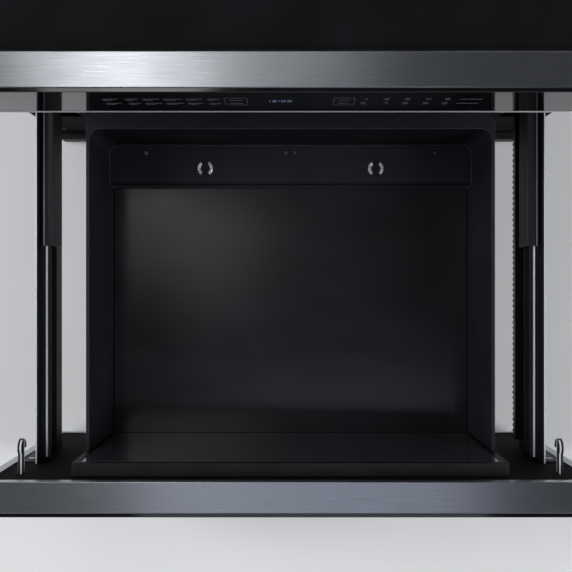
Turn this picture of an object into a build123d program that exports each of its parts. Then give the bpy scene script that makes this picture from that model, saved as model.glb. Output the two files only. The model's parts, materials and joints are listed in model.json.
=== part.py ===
from build123d import *
import math
import os

# Built-in microwave drawer, 24 inch class, drawn with its drawer run out.
# Millimetres. +Z is up and the front faces -Y. The origin is the centre of the base pan's underside.
# Depths are counted from the front flange, the plate that closes on the cabinet.

# Front
FRONT_W = 606.0
FRONT_TOP = 404.0
FLANGE_LOW = 2.0
PANEL_H = 82.0
PANEL_GAP = 3.0
PANEL_D = 31.3
CONTROL_GLASS_T = 4.0
DOOR_LOW = 26.0
DOOR_D = 30.0
DOOR_GLASS_T = 4.0
DOOR_GAP = 1.3
WRAP_T = 1.2
WRAP_LIP = 10.0

# Chassis, within the front on each side and deeper than the cavity
FLANGE_OVERLAP = 25.0
REAR_BAY = 168.0
SIDE_BAY = 56.0
CASE_UNDER_FRONT = 24.0
SHEET = 1.0
FLANGE_T = 1.5

# Cavity and drawer
TRAVEL = 388.0
CAVITY_LOW = 101.0
CAVITY_UNDER_DOOR_TOP = 25.0
CAVITY_D = 412.0
TRAY_SIDE_CLEAR = 3.0
TRAY_WALL = 2.0
TRAY_RIM_W = 3.5
TRAY_RIM_T = 1.5
TRAY_DECK = 19.0
TRAY_DECK_LIP = 8.0
TRAY_UNDER_CLEAR = 2.5
TRAY_FLOOR_T = 2.0
TRAY_OVER_SLIDE = 20.0
TRAY_BACK = 33.0
TRAY_CORNER_R = 14.0
TRAY_EDGE_R = 7.0
SHELF_H = 16.5
SHELF_D = 47.0
SHELF_NOSE_R = 6.0
FLOOR_PLATE_T = 4.0
FLOOR_GROOVE = 4.0
CAP_R = 9.6
CAP_HOLE_R = 5.2
CAP_T = 3.0
CAP_FLOOR_T = 0.75
CAP_BEVEL = 0.9
CAP_X = 101.5
CAP_FROM_BACK = 28.0

# Door block that plugs the cavity mouth
BLOCK_CLEAR = 4.0
BLOCK_D = 12.0
BLOCK_UNDER_CLEAR = 2.0
BLOCK_OVER_CLEAR = 4.5
BLOCK_FRAME = 22.0
INNER_GLASS_T = 4.0
SCREEN_T = 0.6

# Telescopic slides, one each side
SIDE_PLATE_FROM_CASE = 8.0
SIDE_PLATE_T = 1.5
SIDE_PLATE_UNDER_SLIDE = 75.0
SIDE_PLATE_OVER_SLIDE = 25.0
SIDE_PLATE_PAST_CAVITY = 38.0
HOOK_UNDER_CAVITY_TOP = 23.0
SLIDE_UNDER_HOOK = 68.0
SLIDE_T = 19.0
SLIDE_STEEL = 1.5
BALL_R = 1.9
BALL_CLEAR = 0.1
BALL_FLAT = BALL_R / math.sqrt(1 + 2 * (math.sqrt(2) - 1) ** 2)
OUTER_RACE = 19.0
INNER_RACE = 13.4
OUTER_BALL_IN = 9.5
INNER_BALL_IN = 11.5
RACE_WALL = 1.5
RACE_REACH = 4.0
RACE_LIP = 0.6
MID_LIP = 0.3
CAGE_T = 0.8
CAGE_GAP = 0.6
CAGE_REACH = 3.5
MID_WEB = SLIDE_STEEL + 2 * CAGE_GAP + CAGE_T
FIXED_RAIL = (4.0, 454.0)
MID_RAIL_SHUT = (36.0, 436.0)
INNER_RAIL_SHUT = (2.0, 424.0)
OUTER_CAGE_SHUT = (117.0, 317.0)
INNER_CAGE_SHUT = (141.0, 311.0)
BALLS_A_ROW = 3

# Rack and pinion drive
MODULE = 2.0
PINION_TEETH = 18
PRESSURE_ANGLE = 20.0
BACKLASH = 0.35
MESH_CLEAR = 0.15
RACK_UNDER_SLIDE = 63.0
RACK_BACK = 8.0
RACK_W = 10.5
PINION_W = 9.5
PINION_FROM_FLANGE = 30.0
SHAFT_R = 4.0
SHAFT_CLEAR = 0.05

# Fits
SEAT_GAP = 0.3
RUN_GAP = 0.5

HALF = FRONT_W / 2
CASE_HALF = HALF - FLANGE_OVERLAP
MOUTH_HALF = CASE_HALF - SIDE_BAY
CASE_D = CAVITY_D + REAR_BAY
PANEL_LOW = FRONT_TOP - PANEL_H
DOOR_TOP = PANEL_LOW - PANEL_GAP
CASE_TOP = FRONT_TOP - CASE_UNDER_FRONT
CAVITY_TOP = DOOR_TOP - CAVITY_UNDER_DOOR_TOP
HOOK_Z = CAVITY_TOP - HOOK_UNDER_CAVITY_TOP
SLIDE_Z = HOOK_Z - SLIDE_UNDER_HOOK
SIDE_PLATE_LOW = SLIDE_Z - SIDE_PLATE_UNDER_SLIDE
SIDE_PLATE_TOP = SLIDE_Z + SIDE_PLATE_OVER_SLIDE
TRAY_TOP = SLIDE_Z + TRAY_OVER_SLIDE
RACK_PITCH_Z = SLIDE_Z - RACK_UNDER_SLIDE
FLANGE_Y = -CASE_D / 2
CASE_BACK = CASE_D / 2
CASE_FRONT = FLANGE_Y + FLANGE_T
DOOR_BACK = FLANGE_Y - DOOR_GAP - TRAVEL
DOOR_FRONT = DOOR_BACK - DOOR_D
BLOCK_BACK = DOOR_BACK + BLOCK_D
BLOCK_LOW = CAVITY_LOW + BLOCK_UNDER_CLEAR
BLOCK_TOP = CAVITY_TOP - BLOCK_OVER_CLEAR
TRAY_LOW = CAVITY_LOW + TRAY_UNDER_CLEAR
SHELF_TOP = TRAY_LOW + SHELF_H
SIDE_PLATE_IN = CASE_HALF - SIDE_PLATE_FROM_CASE
SIDE_PLATE_L = CAVITY_D + SIDE_PLATE_PAST_CAVITY
RAIL_IN = SIDE_PLATE_IN - SLIDE_T
PINION_R = MODULE * PINION_TEETH / 2
PINION_Z = RACK_PITCH_Z - PINION_R - MESH_CLEAR
PINION_Y = FLANGE_Y + PINION_FROM_FLANGE

os.makedirs("parts", exist_ok=True)


# Helpers ------------------------------------------------------------------------------------------
def save(node, *shapes):
    """Write one node, a single solid or a group of separate ones."""
    solids = [solid for shape in shapes for solid in shape.solids()]
    export_step(solids[0] if len(solids) == 1 else Compound(children=solids), f"parts/{node}.step")


def block(x, y, z):
    """A box between a low and a high limit on each axis."""
    limits = (x, y, z)
    size = [high - low for low, high in limits]
    middle = [(high + low) / 2 for low, high in limits]
    return Pos(*middle) * Box(*size)


def rod(axis, centre, length, radius):
    """A cylinder centred on a point, lying along X, Y or Z."""
    turn = {"X": Rot(0, 90, 0), "Y": Rot(90, 0, 0), "Z": Rot(0, 0, 0)}[axis]
    return Pos(*centre) * turn * Cylinder(radius, length)


def bar(axis, centre, length, radius, sides=6):
    """A regular prism lying along X, Y or Z, its radius measured to the corners."""
    turn = {"X": Rot(0, 90, 0), "Y": Rot(90, 0, 0), "Z": Rot(0, 0, 0)}[axis]
    prism = extrude(RegularPolygon(radius, sides), amount=length / 2, both=True)
    return Pos(*centre) * turn * prism


def depth(near, far):
    """A Y span counted back from the front flange."""
    return (FLANGE_Y + near, FLANGE_Y + far)


def run_out(span, share):
    """A depth span after the drawer has run out, for a piece that moves by a share of its travel."""
    return depth(*(limit - share * TRAVEL for limit in span))


def other_side(shape):
    """The same piece on the other side of the object."""
    return mirror(shape, about=Plane.YZ)


def both(shape):
    """A piece and its twin on the other side."""
    return [shape, other_side(shape)]


def extruded(face, y):
    """A face drawn in X and Z, run along a Y span."""
    low, high = y
    return Pos(0, high, 0) * extrude(Plane.XZ * face, amount=high - low)


def ring(x, y, z, wall):
    """A four-sided frame, open to the front and back."""
    hole = block((x[0] + wall, x[1] - wall), (y[0] - 1, y[1] + 1), (z[0] + wall, z[1] - wall))
    return block(x, y, z) - hole


# Chassis ------------------------------------------------------------------------------------------
BASE_RIM = 14.0
LOUVRE = (46.0, 5.0)
LOUVRE_STEP = 60.0
PAN_LOUVRES = (150.0, 175.0, 200.0)
CASE_LOUVRES = 4
CASE_LOUVRE_STEP = 14.0
CASE_LOUVRE_FROM_BACK = 70.0
CASE_LOUVRE_Z = CASE_TOP - 80.0
GLAND_X = -200.0
GLAND_Z = 52.0
GLAND_R = 11.0
GLAND_L = 15.0
COLLAR_T = 4.0
CORD_BORE_R = 4.5
FAN_Z = CAVITY_TOP - 70.0
FAN_R = 54.0
FAN_SHROUD_D = 30.0
FAN_SIZE = 124.0
FAN_SHAFT_R = 3.0
FAN_BLADES = 6
FAN_HUB_R = 15.0
FAN_TIP_GAP = 3.0
FAN_MOTOR_D = 28.0
FAN_MOTOR_BORE = 12.0
FAN_CORE = 26.0
FAN_COIL = 16.0
FAN_CAP_R = 12.0
ARM_T = 4.0
ARM_W = 5.0
GRILLE_SLOTS = 7


def base_pan():
    """Folded pan with a low rim and three rows of air slots."""
    inside = CASE_HALF - SHEET - SEAT_GAP
    outer = block((-inside, inside), (CASE_FRONT, CASE_BACK - SHEET), (0, BASE_RIM))
    floor = (-inside + SHEET, inside - SHEET)
    pan = outer - block(floor, (CASE_FRONT + SHEET, CASE_BACK - 2 * SHEET), (SHEET, BASE_RIM + 1))
    length, width = LOUVRE
    for near in PAN_LOUVRES:
        for column in range(-1, 2):
            middle = column * LOUVRE_STEP
            slot = (middle - length / 2, middle + length / 2)
            pan -= block(slot, depth(near, near + width), (-1, SHEET + 1))
    return pan


def outer_case():
    """Sheet wrap over the top and both sides, with a row of slots in each side."""
    shell = block((-CASE_HALF, CASE_HALF), (CASE_FRONT, CASE_BACK - SHEET), (SHEET, CASE_TOP))
    inside = CASE_HALF - SHEET
    shell -= block((-inside, inside), (CASE_FRONT - 1, CASE_BACK), (SHEET - 1, CASE_TOP - SHEET))
    length, width = LOUVRE
    for step in range(CASE_LOUVRES):
        start = CASE_BACK - CASE_LOUVRE_FROM_BACK - step * CASE_LOUVRE_STEP
        slot = (CASE_LOUVRE_Z, CASE_LOUVRE_Z + length)
        shell -= block((-CASE_HALF - 1, CASE_HALF + 1), (start, start + width), slot)
    return shell


def rear_panel():
    """Back plate with the fan grille and the cord inlet hole."""
    plate = block((-CASE_HALF, CASE_HALF), (CASE_BACK - SHEET, CASE_BACK), (SHEET, CASE_TOP))
    plate -= rod("Y", (GLAND_X, CASE_BACK, GLAND_Z), 4, GLAND_R)
    pitch = 2 * FAN_R / GRILLE_SLOTS
    for step in range(GRILLE_SLOTS):
        level = FAN_Z - FAN_R + (step + 0.5) * pitch
        half = math.sqrt(FAN_R**2 - (level - FAN_Z) ** 2)
        height = (level - pitch / 4, level + pitch / 4)
        plate -= block((-half, half), (CASE_BACK - 3, CASE_BACK + 1), height)
    return plate


HOOK_X = (SIDE_PLATE_IN + 1.0, SIDE_PLATE_IN + 5.0)
RAIL_SLOT = (RAIL_IN - 4.0, SIDE_PLATE_IN + SIDE_PLATE_T + 3.0)
RAIL_SLOT_Z = (SIDE_PLATE_LOW - 4.0, SIDE_PLATE_TOP + 4.0)
HOOK_SLOT = (HOOK_X[0] - 4.0, HOOK_X[1] + 1.5)
HOOK_SLOT_Z = (HOOK_Z - 15.0, HOOK_Z + 19.0)
VENT_HALF = HALF - 3.0
OUTLET_HALF = RAIL_SLOT[0] - 12.0
VENT_TOP = 22.0
VENT_OUT = 9.0
VENT_T = 1.5
VENT_END = 12.0
VENT_SLOTS = 12
VENT_SLOT_Z = (8.0, 16.0)
FLANGE_HOLE_R = 2.25
FLANGE_HOLE_X = HALF - 12.0
FLANGE_HOLE_Z = (70.0, FRONT_TOP - 124.0)
SIDE_FLANGE_LEG = 22.0


def front_flange():
    """Welded front frame: strips that leave the cavity mouth and a slot for each slide and hook."""
    y = (FLANGE_Y, CASE_FRONT)
    head = block((-CASE_HALF, CASE_HALF), y, (CAVITY_TOP, FRONT_TOP))
    foot = block((-RAIL_SLOT[0], RAIL_SLOT[0]), y, (FLANGE_LOW, CAVITY_LOW))
    outlet = (-OUTLET_HALF, OUTLET_HALF)
    foot -= block(outlet, (FLANGE_Y - 1, CASE_FRONT + 1), (FLANGE_LOW + 4, VENT_TOP - 4))
    upright = ((MOUTH_HALF, RAIL_SLOT[0]), (CAVITY_LOW, CAVITY_TOP))
    ties = [
        ((RAIL_SLOT[0], CASE_HALF), (FLANGE_LOW, RAIL_SLOT_Z[0])),
        ((RAIL_SLOT[0], CASE_HALF), (RAIL_SLOT_Z[1], HOOK_SLOT_Z[0])),
        ((RAIL_SLOT[0], CASE_HALF), (HOOK_SLOT_Z[1], CAVITY_TOP)),
    ]
    edges = [
        ((RAIL_SLOT[1], CASE_HALF), RAIL_SLOT_Z),
        ((RAIL_SLOT[0], HOOK_SLOT[0]), HOOK_SLOT_Z),
        ((HOOK_SLOT[1], CASE_HALF), HOOK_SLOT_Z),
    ]
    strips = [piece for x, z in (upright, *ties, *edges) for piece in both(block(x, y, z))]
    return [head, foot, *strips]


def side_flanges():
    """Angle strips on the chassis sides that close on the cabinet, with its screw holes."""
    y = (FLANGE_Y, CASE_FRONT)
    strip = block((CASE_HALF, HALF), y, (FLANGE_LOW, FRONT_TOP))
    leg = (CASE_HALF, CASE_HALF + FLANGE_T)
    strip += block(leg, (FLANGE_Y, FLANGE_Y + SIDE_FLANGE_LEG), (FLANGE_LOW, CASE_TOP))
    for level in FLANGE_HOLE_Z:
        strip -= rod("Y", (FLANGE_HOLE_X, FLANGE_Y, level), 10, FLANGE_HOLE_R)
    return both(strip)


def bottom_vent():
    """Air outlet lip across the foot of the front, slotted."""
    y = (FLANGE_Y - VENT_OUT, FLANGE_Y)
    lip = block((-VENT_HALF, VENT_HALF), y, (FLANGE_LOW, VENT_TOP))
    inside = VENT_HALF - VENT_T
    lip -= block((-inside, inside), (y[0] + VENT_T, y[1] + 1), (FLANGE_LOW + VENT_T, VENT_TOP - VENT_T))
    pitch = 2 * OUTLET_HALF / VENT_SLOTS
    for step in range(VENT_SLOTS):
        middle = -OUTLET_HALF + (step + 0.5) * pitch
        slot = (middle - 0.35 * pitch, middle + 0.35 * pitch)
        lip -= block(slot, (y[0] - 1, y[0] + VENT_T + 0.5), VENT_SLOT_Z)
    return lip


PORT_R = 36.0
PORT_FROM_FLANGE = CAVITY_D / 2
LAMP_X = MOUTH_HALF - 72.0
LAMP_Z = CAVITY_TOP - 44.0
LAMP_PITCH = 9.0
LAMP_SLOT_HALF = 12.0
LAMP_HALF = 20.0
LAMP_D = 26.0
LAMP_WALL = 4.0
BULB_L = 12.0
BULB_R = 8.0
MOUTH_FOLD = 12.0


def cavity_box():
    """Five-sided cooking cavity with a ceiling port, lamp holes and a folded mouth."""
    y = depth(FLANGE_T, CAVITY_D)
    outside = (-MOUTH_HALF - SHEET, MOUTH_HALF + SHEET)
    box = block(outside, (y[0], y[1] + SHEET), (CAVITY_LOW - SHEET, CAVITY_TOP + SHEET))
    box -= block((-MOUTH_HALF, MOUTH_HALF), (y[0] - 1, y[1]), (CAVITY_LOW, CAVITY_TOP))
    box -= rod("Z", (0, FLANGE_Y + PORT_FROM_FLANGE, CAVITY_TOP), 10, PORT_R)
    for row in range(-1, 2):
        level = LAMP_Z + row * LAMP_PITCH
        slot = (LAMP_X - LAMP_SLOT_HALF, LAMP_X + LAMP_SLOT_HALF)
        box -= block(slot, (y[1] - 1, y[1] + SHEET + 1), (level - 2, level + 2))
    fold = (CAVITY_TOP + SHEET, CAVITY_TOP + SHEET + MOUTH_FOLD)
    box += block(outside, (y[0], y[0] + SHEET), fold)
    return box


SUPPORT_DEPTHS = (96.0, CAVITY_D - 62.0)
SUPPORT_W = 30.0
SUPPORT_HALF = MOUTH_HALF - 22.0
SUPPORT_T = 1.5
SUPPORT_HOLES = 3
SUPPORT_RIB = 24.0


def cavity_supports():
    """Two folded channels that carry the cavity on the base."""
    rails = []
    for near in SUPPORT_DEPTHS:
        x = (-SUPPORT_HALF, SUPPORT_HALF)
        leg = block(x, depth(near, near + SUPPORT_W), (SHEET, CAVITY_LOW - SHEET))
        inner = (SHEET + SUPPORT_T, CAVITY_LOW - SHEET - SUPPORT_T)
        leg -= block((x[0] - 1, x[1] + 1), depth(near + SUPPORT_T, near + SUPPORT_W + 1), inner)
        pitch = 2 * SUPPORT_HALF / SUPPORT_HOLES
        window = (inner[0] + SUPPORT_RIB, inner[1] - SUPPORT_RIB)
        for step in range(SUPPORT_HOLES):
            start = -SUPPORT_HALF + step * pitch + SUPPORT_RIB
            slot = (start, start + pitch - 2 * SUPPORT_RIB)
            leg -= block(slot, depth(near - 1, near + SUPPORT_T + 1), window)
        rails.append(leg)
    return rails


# Control panel ------------------------------------------------------------------------------------
HOUSING_WALL = 2.0
HOUSING_SIDE = 8.0
BOARD_T = 1.6
BOARD_FROM_FRONT = 8.0
BOARD_PARTS = ((-165.0, 30.0, 12.0), (170.0, 40.0, 18.0), (50.0, 20.0, 14.0))
BOARD_PARTS_UP = 22.0
TRIM_H = 2.0
TRIM_D = 2.4
DISPLAY_X = (-14.0, 22.0)
DISPLAY_Z = (PANEL_LOW + 30.0, PANEL_LOW + 54.0)
POST_R = 3.0


def panel_frame():
    """Brushed steel surround of the control panel, open at the front and back."""
    return ring((-HALF, HALF), (FLANGE_Y - PANEL_D, FLANGE_Y), (PANEL_LOW, FRONT_TOP), WRAP_T)


def control_trim():
    """Bright strip along the foot of the control glass."""
    y = (FLANGE_Y - PANEL_D - TRIM_D, FLANGE_Y - PANEL_D)
    return block((-HALF, HALF), y, (PANEL_LOW, PANEL_LOW + TRIM_H))


def control_glass():
    """Black touch glass over the surround."""
    y = (FLANGE_Y - PANEL_D - CONTROL_GLASS_T, FLANGE_Y - PANEL_D)
    glass = block((-HALF, HALF), y, (PANEL_LOW + TRIM_H, FRONT_TOP))
    edges = glass.edges().filter_by(Axis.X).group_by(Axis.Y)[0]
    return chamfer(edges, 0.5)


def housing_limits():
    side = HALF - WRAP_T - HOUSING_SIDE
    return (-side, side), (PANEL_LOW + WRAP_T + 3, FRONT_TOP - WRAP_T - 3)


def board_posts():
    """Where the control board is screwed to its housing."""
    x, z = housing_limits()
    return [(px, pz) for px in (x[0] + 20, -95, 95, x[1] - 20) for pz in (z[0] + 12, z[1] - 12)]


def panel_housing():
    """Moulded tray that holds the control board, with a post at each screw."""
    x, z = housing_limits()
    front = FLANGE_Y - PANEL_D
    tray = block(x, (front, FLANGE_Y), z)
    tray -= block(
        (x[0] + HOUSING_WALL, x[1] - HOUSING_WALL),
        (front - 1, FLANGE_Y - HOUSING_WALL),
        (z[0] + HOUSING_WALL, z[1] - HOUSING_WALL),
    )
    board_back = front + BOARD_FROM_FRONT
    length = FLANGE_Y - HOUSING_WALL - board_back
    for px, pz in board_posts():
        tray += bar("Y", (px, board_back + length / 2, pz), length, POST_R)
    return tray


def control_board():
    """Printed board with two connectors and a relay on its back."""
    x, z = housing_limits()
    back = FLANGE_Y - PANEL_D + BOARD_FROM_FRONT
    inset = HOUSING_WALL + 1
    board = block((x[0] + inset, x[1] - inset), (back - BOARD_T, back), (z[0] + inset, z[1] - inset))
    for middle, width, height in BOARD_PARTS:
        low = PANEL_LOW + BOARD_PARTS_UP
        board += block((middle - width / 2, middle + width / 2), (back, back + 9), (low, low + height))
    return board


def display_module():
    """Digit display between the board and the glass."""
    front = FLANGE_Y - PANEL_D
    return block(DISPLAY_X, (front, front + BOARD_FROM_FRONT - BOARD_T), DISPLAY_Z)


# Telescopic slides --------------------------------------------------------------------------------
def slide_point(inward, level):
    """A point of the slide's section: distance from its inboard face, and height from its axis."""
    return (RAIL_IN + inward, SLIDE_Z + level)


def section(x, level):
    """A rectangle of the slide's section."""
    centre = slide_point((x[0] + x[1]) / 2, (level[0] + level[1]) / 2)
    return Pos(*centre) * Rectangle(x[1] - x[0], level[1] - level[0])


def race(inward, level):
    """The round that a row of balls clears in a flange."""
    return Pos(*slide_point(inward, level)) * Circle(BALL_R + BALL_CLEAR)


def flanged(web, flange, low, high):
    """A channel section: a web and two flanges, alike above and below the axis."""
    face = section(web, (-high, high))
    for side in (1, -1):
        span = sorted((side * low, side * high))
        face += section(flange, span)
    return face


def fixed_section():
    """Outermost member: web against the support, flanges around the outer balls."""
    low = OUTER_RACE + BALL_R - RACE_LIP
    high = OUTER_RACE + BALL_R + BALL_CLEAR + RACE_WALL
    face = flanged((0, SLIDE_STEEL), (0, OUTER_BALL_IN + RACE_REACH), low, high)
    for side in (1, -1):
        face -= race(OUTER_BALL_IN, side * OUTER_RACE)
    return face


def mid_section():
    """Middle member, between the outer and the inner balls."""
    low = INNER_RACE + BALL_R - MID_LIP
    high = OUTER_RACE - BALL_R + MID_LIP
    face = flanged((MID_WEB, MID_WEB + SLIDE_STEEL), (MID_WEB, INNER_BALL_IN + RACE_REACH), low, high)
    for side in (1, -1):
        face -= race(OUTER_BALL_IN, side * OUTER_RACE)
        face -= race(INNER_BALL_IN, side * INNER_RACE)
    return face


def inner_section():
    """Drawer member: web against the drawer's side plate, flanges inside the inner balls."""
    high = INNER_RACE - BALL_R + MID_LIP
    web = (SLIDE_T - SLIDE_STEEL, SLIDE_T)
    low = high - MID_LIP - BALL_CLEAR - RACE_WALL
    face = flanged(web, (INNER_BALL_IN - RACE_REACH, SLIDE_T), low, high)
    for side in (1, -1):
        face -= race(INNER_BALL_IN, side * INNER_RACE)
    return face


def ball():
    """A slide ball in 26 flats, whose corners lie on the ball's radius."""
    size = 2 * BALL_FLAT
    return chamfer(Box(size, size, size).edges(), BALL_FLAT * (2 - math.sqrt(2)))


def cage(web, inward, level, span, reach):
    """Ball cage: a thin channel with its balls, which sit in square pockets along both flanges."""
    start, end = span
    face = section(web, (-level - CAGE_T / 2, level + CAGE_T / 2))
    for side in (1, -1):
        middle = side * level
        face += section((web[0], reach), (middle - CAGE_T / 2, middle + CAGE_T / 2))
    strip = extruded(face, (start, end))
    pitch = (end - start) / BALLS_A_ROW
    pocket = 2 * (BALL_FLAT + BALL_CLEAR)
    balls = []
    for side in (1, -1):
        for step in range(BALLS_A_ROW):
            x, z = slide_point(inward, side * level)
            spot = (x, start + (step + 0.5) * pitch, z)
            strip -= Pos(*spot) * Box(pocket, pocket, 4 * CAGE_T)
            balls.append(Pos(*spot) * ball())
    return [strip, *balls]


def outer_cage():
    web_in = SLIDE_STEEL + CAGE_GAP
    span = run_out(OUTER_CAGE_SHUT, 0.25)
    return cage((web_in, web_in + CAGE_T), OUTER_BALL_IN, OUTER_RACE, span, OUTER_BALL_IN + CAGE_REACH)


def inner_cage():
    web_in = MID_WEB + SLIDE_STEEL + CAGE_GAP
    span = run_out(INNER_CAGE_SHUT, 0.75)
    return cage((web_in, web_in + CAGE_T), INNER_BALL_IN, INNER_RACE, span, INNER_BALL_IN + CAGE_REACH)


SUPPORT_PLATE_T = 1.8
SUPPORT_FOOT = 24.0
SUPPORT_WINDOWS = (110.0, 210.0, 310.0)


def rail_support(geared):
    """Upright plate that carries a fixed slide, folded onto the base; one has the pinion's bearing hole."""
    start, end = depth(FLANGE_T + SHEET + SEAT_GAP, FIXED_RAIL[1])
    x = (RAIL_IN - SUPPORT_PLATE_T, RAIL_IN)
    plate = block(x, (start, end), (SHEET, SLIDE_Z + OUTER_RACE + 3))
    plate += block((x[0] - SUPPORT_FOOT, x[1]), (start, end), (SHEET, SHEET + SUPPORT_PLATE_T))
    for near in SUPPORT_WINDOWS:
        plate -= block((x[0] - 1, x[1] + 1), depth(near, near + 76), (40, SLIDE_Z - 53))
    if geared:
        plate -= rod("X", (x[0], PINION_Y, PINION_Z), 10, SHAFT_R + SHAFT_CLEAR)
        return plate
    return other_side(plate)


# Rack and pinion ----------------------------------------------------------------------------------
def involute_half_angle(radius):
    """Half the angle that a pinion tooth covers at a radius."""
    pressure = math.radians(PRESSURE_ANGLE)
    base = PINION_R * math.cos(pressure)
    here = math.acos(min(1.0, base / radius))
    at_pitch = (math.pi * MODULE / 2 - BACKLASH / 2) / (2 * PINION_R)
    return at_pitch + (math.tan(pressure) - pressure) - (math.tan(here) - here)


def drive_pinion():
    """Spur pinion, one tooth straight up at rest, on its own shaft."""
    tip = PINION_R + MODULE
    base = PINION_R * math.cos(math.radians(PRESSURE_ANGLE))
    root = PINION_R - 1.25 * MODULE
    flank = [(root, involute_half_angle(base))]
    flank += [(radius, involute_half_angle(radius)) for radius in (base, PINION_R, tip)]
    outline = []
    for tooth in range(PINION_TEETH):
        middle = math.pi / 2 - tooth * 2 * math.pi / PINION_TEETH
        left = [(radius, middle + half) for radius, half in flank]
        right = [(radius, middle - half) for radius, half in reversed(flank)]
        outline += [(r * math.cos(turn), r * math.sin(turn)) for r, turn in left + right]
    wheel = extrude(Plane.YZ * make_face(Polyline(*outline, close=True)), amount=PINION_W)
    outboard = SIDE_PLATE_IN - RUN_GAP
    wheel = Pos(outboard - PINION_W, PINION_Y, PINION_Z) * wheel
    inboard = GEARBOX_X[1] - GEARBOX_BORE
    length = outboard - inboard
    return wheel + rod("X", (inboard + length / 2, PINION_Y, PINION_Z), length, SHAFT_R)


def drive_rack():
    """Rack under the right slide, teeth down, with a gap over the pinion's upright tooth at rest."""
    pitch = math.pi * MODULE
    slope = math.tan(math.radians(PRESSURE_ANGLE))
    half_pitch_line = (pitch - BACKLASH) / 4
    at_root = half_pitch_line + 1.25 * MODULE * slope
    at_tip = half_pitch_line - MODULE * slope
    root = RACK_PITCH_Z + 1.25 * MODULE
    tip = RACK_PITCH_Z - MODULE
    behind = 2
    ahead = math.ceil(TRAVEL / pitch) + 3
    back = root + RACK_BACK
    rear = PINION_Y + behind * pitch
    front = PINION_Y - ahead * pitch
    points = [(rear, root), (rear, back), (front, back), (front, root)]
    for tooth in range(-ahead, behind):
        middle = PINION_Y + (tooth + 0.5) * pitch
        points += [(middle - at_root, root), (middle - at_tip, tip)]
        points += [(middle + at_tip, tip), (middle + at_root, root)]
    face = make_face(Polyline(*points, close=True))
    return Pos(SIDE_PLATE_IN - RACK_W, 0, 0) * extrude(Plane.YZ * face, amount=RACK_W)


GEARBOX_X = (RAIL_IN - SUPPORT_PLATE_T - 17.2, RAIL_IN - SUPPORT_PLATE_T)
MOTOR_Y = PINION_Y + 10.0
MOTOR_Z = 66.0
MOTOR_R = 24.0
MOTOR_L = 84.0
MOTOR_CAP = 6.0
GEARBOX_BORE = 9.0
GEARBOX_CORNER = 14.0


def drive_gearbox():
    """Flat eight-sided gearbox with the output bore, screwed to the slide support."""
    reach = MOTOR_R + 4
    y = (MOTOR_Y - reach, MOTOR_Y + reach)
    body = block(GEARBOX_X, y, (MOTOR_Z - reach, PINION_Z + SHAFT_R + 14))
    body = chamfer(body.edges().filter_by(Axis.X), GEARBOX_CORNER)
    depth_in = GEARBOX_BORE + RUN_GAP
    body -= rod("X", (GEARBOX_X[1], PINION_Y, PINION_Z), 2 * depth_in, SHAFT_R + SHAFT_CLEAR)
    return body


def drive_motor():
    """Round motor on the inboard face of the gearbox, with its end cap and terminals."""
    end = GEARBOX_X[0] - MOTOR_L
    can = bar("X", (end + MOTOR_L / 2, MOTOR_Y, MOTOR_Z), MOTOR_L, MOTOR_R, 24)
    can += bar("X", (end - MOTOR_CAP / 2, MOTOR_Y, MOTOR_Z), MOTOR_CAP, MOTOR_R - 8, 12)
    for middle in (MOTOR_Y - 10, MOTOR_Y + 10):
        can += block((end - MOTOR_CAP - 4, end), (middle - 0.4, middle + 0.4), (MOTOR_Z - 3, MOTOR_Z + 3))
    return can


# Interlocks and latch hooks -----------------------------------------------------------------------
HOOK_SHANK_H = 9.0
HOOK_HEAD_R = 9.0
HOOK_REACH = 33.0
HOOK_PIVOT_IN = 10.0
PIN_R = 2.5
PIN_CLEAR = 0.05
EAR_T = 2.0
HOLDER_X = (HOOK_X[0] - 13.0, HOOK_X[1] + 1.5)
HOLDER_Z = (HOOK_Z - 23.0, HOOK_Z + 27.0)
HOLDER_D = 50.0
POCKET_IN = HOOK_X[0] - 3.0
POCKET_Z = (HOOK_Z - 17.0, HOOK_Z + 20.0)
BUTTON_HALF = 1.5
BUTTON_TIP = HOOK_Z + 14.0
BUTTON_STROKE = 1.2
BUTTON_IN = 3.0


def latch_hook():
    """Hook on two stub pins inside the door, reaching back to the interlock."""
    pivot = DOOR_BACK - HOOK_PIVOT_IN
    tip = DOOR_BACK + HOOK_REACH
    low = HOOK_Z - HOOK_SHANK_H / 2
    shank = block(HOOK_X, (pivot - PIN_R - 1, tip - HOOK_HEAD_R), (low, low + HOOK_SHANK_H))
    thick = HOOK_X[1] - HOOK_X[0]
    middle = (HOOK_X[0] + HOOK_X[1]) / 2
    head = bar("X", (middle, tip - HOOK_HEAD_R, HOOK_Z - 2), thick, HOOK_HEAD_R, 16)
    notch = (tip - 2 * HOOK_HEAD_R - 1, tip - HOOK_HEAD_R - 1)
    head -= block(HOOK_X, notch, (low - HOOK_HEAD_R, low))
    pins = rod("X", (middle, pivot, HOOK_Z), thick + 2 * (EAR_T + RUN_GAP), PIN_R)
    return shank + head + pins


def interlock_holder():
    """Moulded pocket behind the flange that the hook enters, with the switch button's hole in its roof."""
    body = block(HOLDER_X, depth(FLANGE_T, HOLDER_D), HOLDER_Z)
    body -= block((POCKET_IN, HOLDER_X[1] + 1), depth(0, HOLDER_D - 6), POCKET_Z)
    return body - button_span((POCKET_Z[1] - 1, HOLDER_Z[1] + 1), PIN_CLEAR)


def button_span(z, clear):
    """A square prism over the closed hook's head, for the button or the hole it slides in."""
    x = (HOOK_X[0] + HOOK_X[1]) / 2
    y = FLANGE_Y + HOOK_REACH - DOOR_GAP - HOOK_HEAD_R
    half = BUTTON_HALF + clear
    return block((x - half, x + half), (y - half, y + half), z)


SWITCH_H = 16.0
SWITCH_TOP = HOLDER_Z[1] + SWITCH_H


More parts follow.
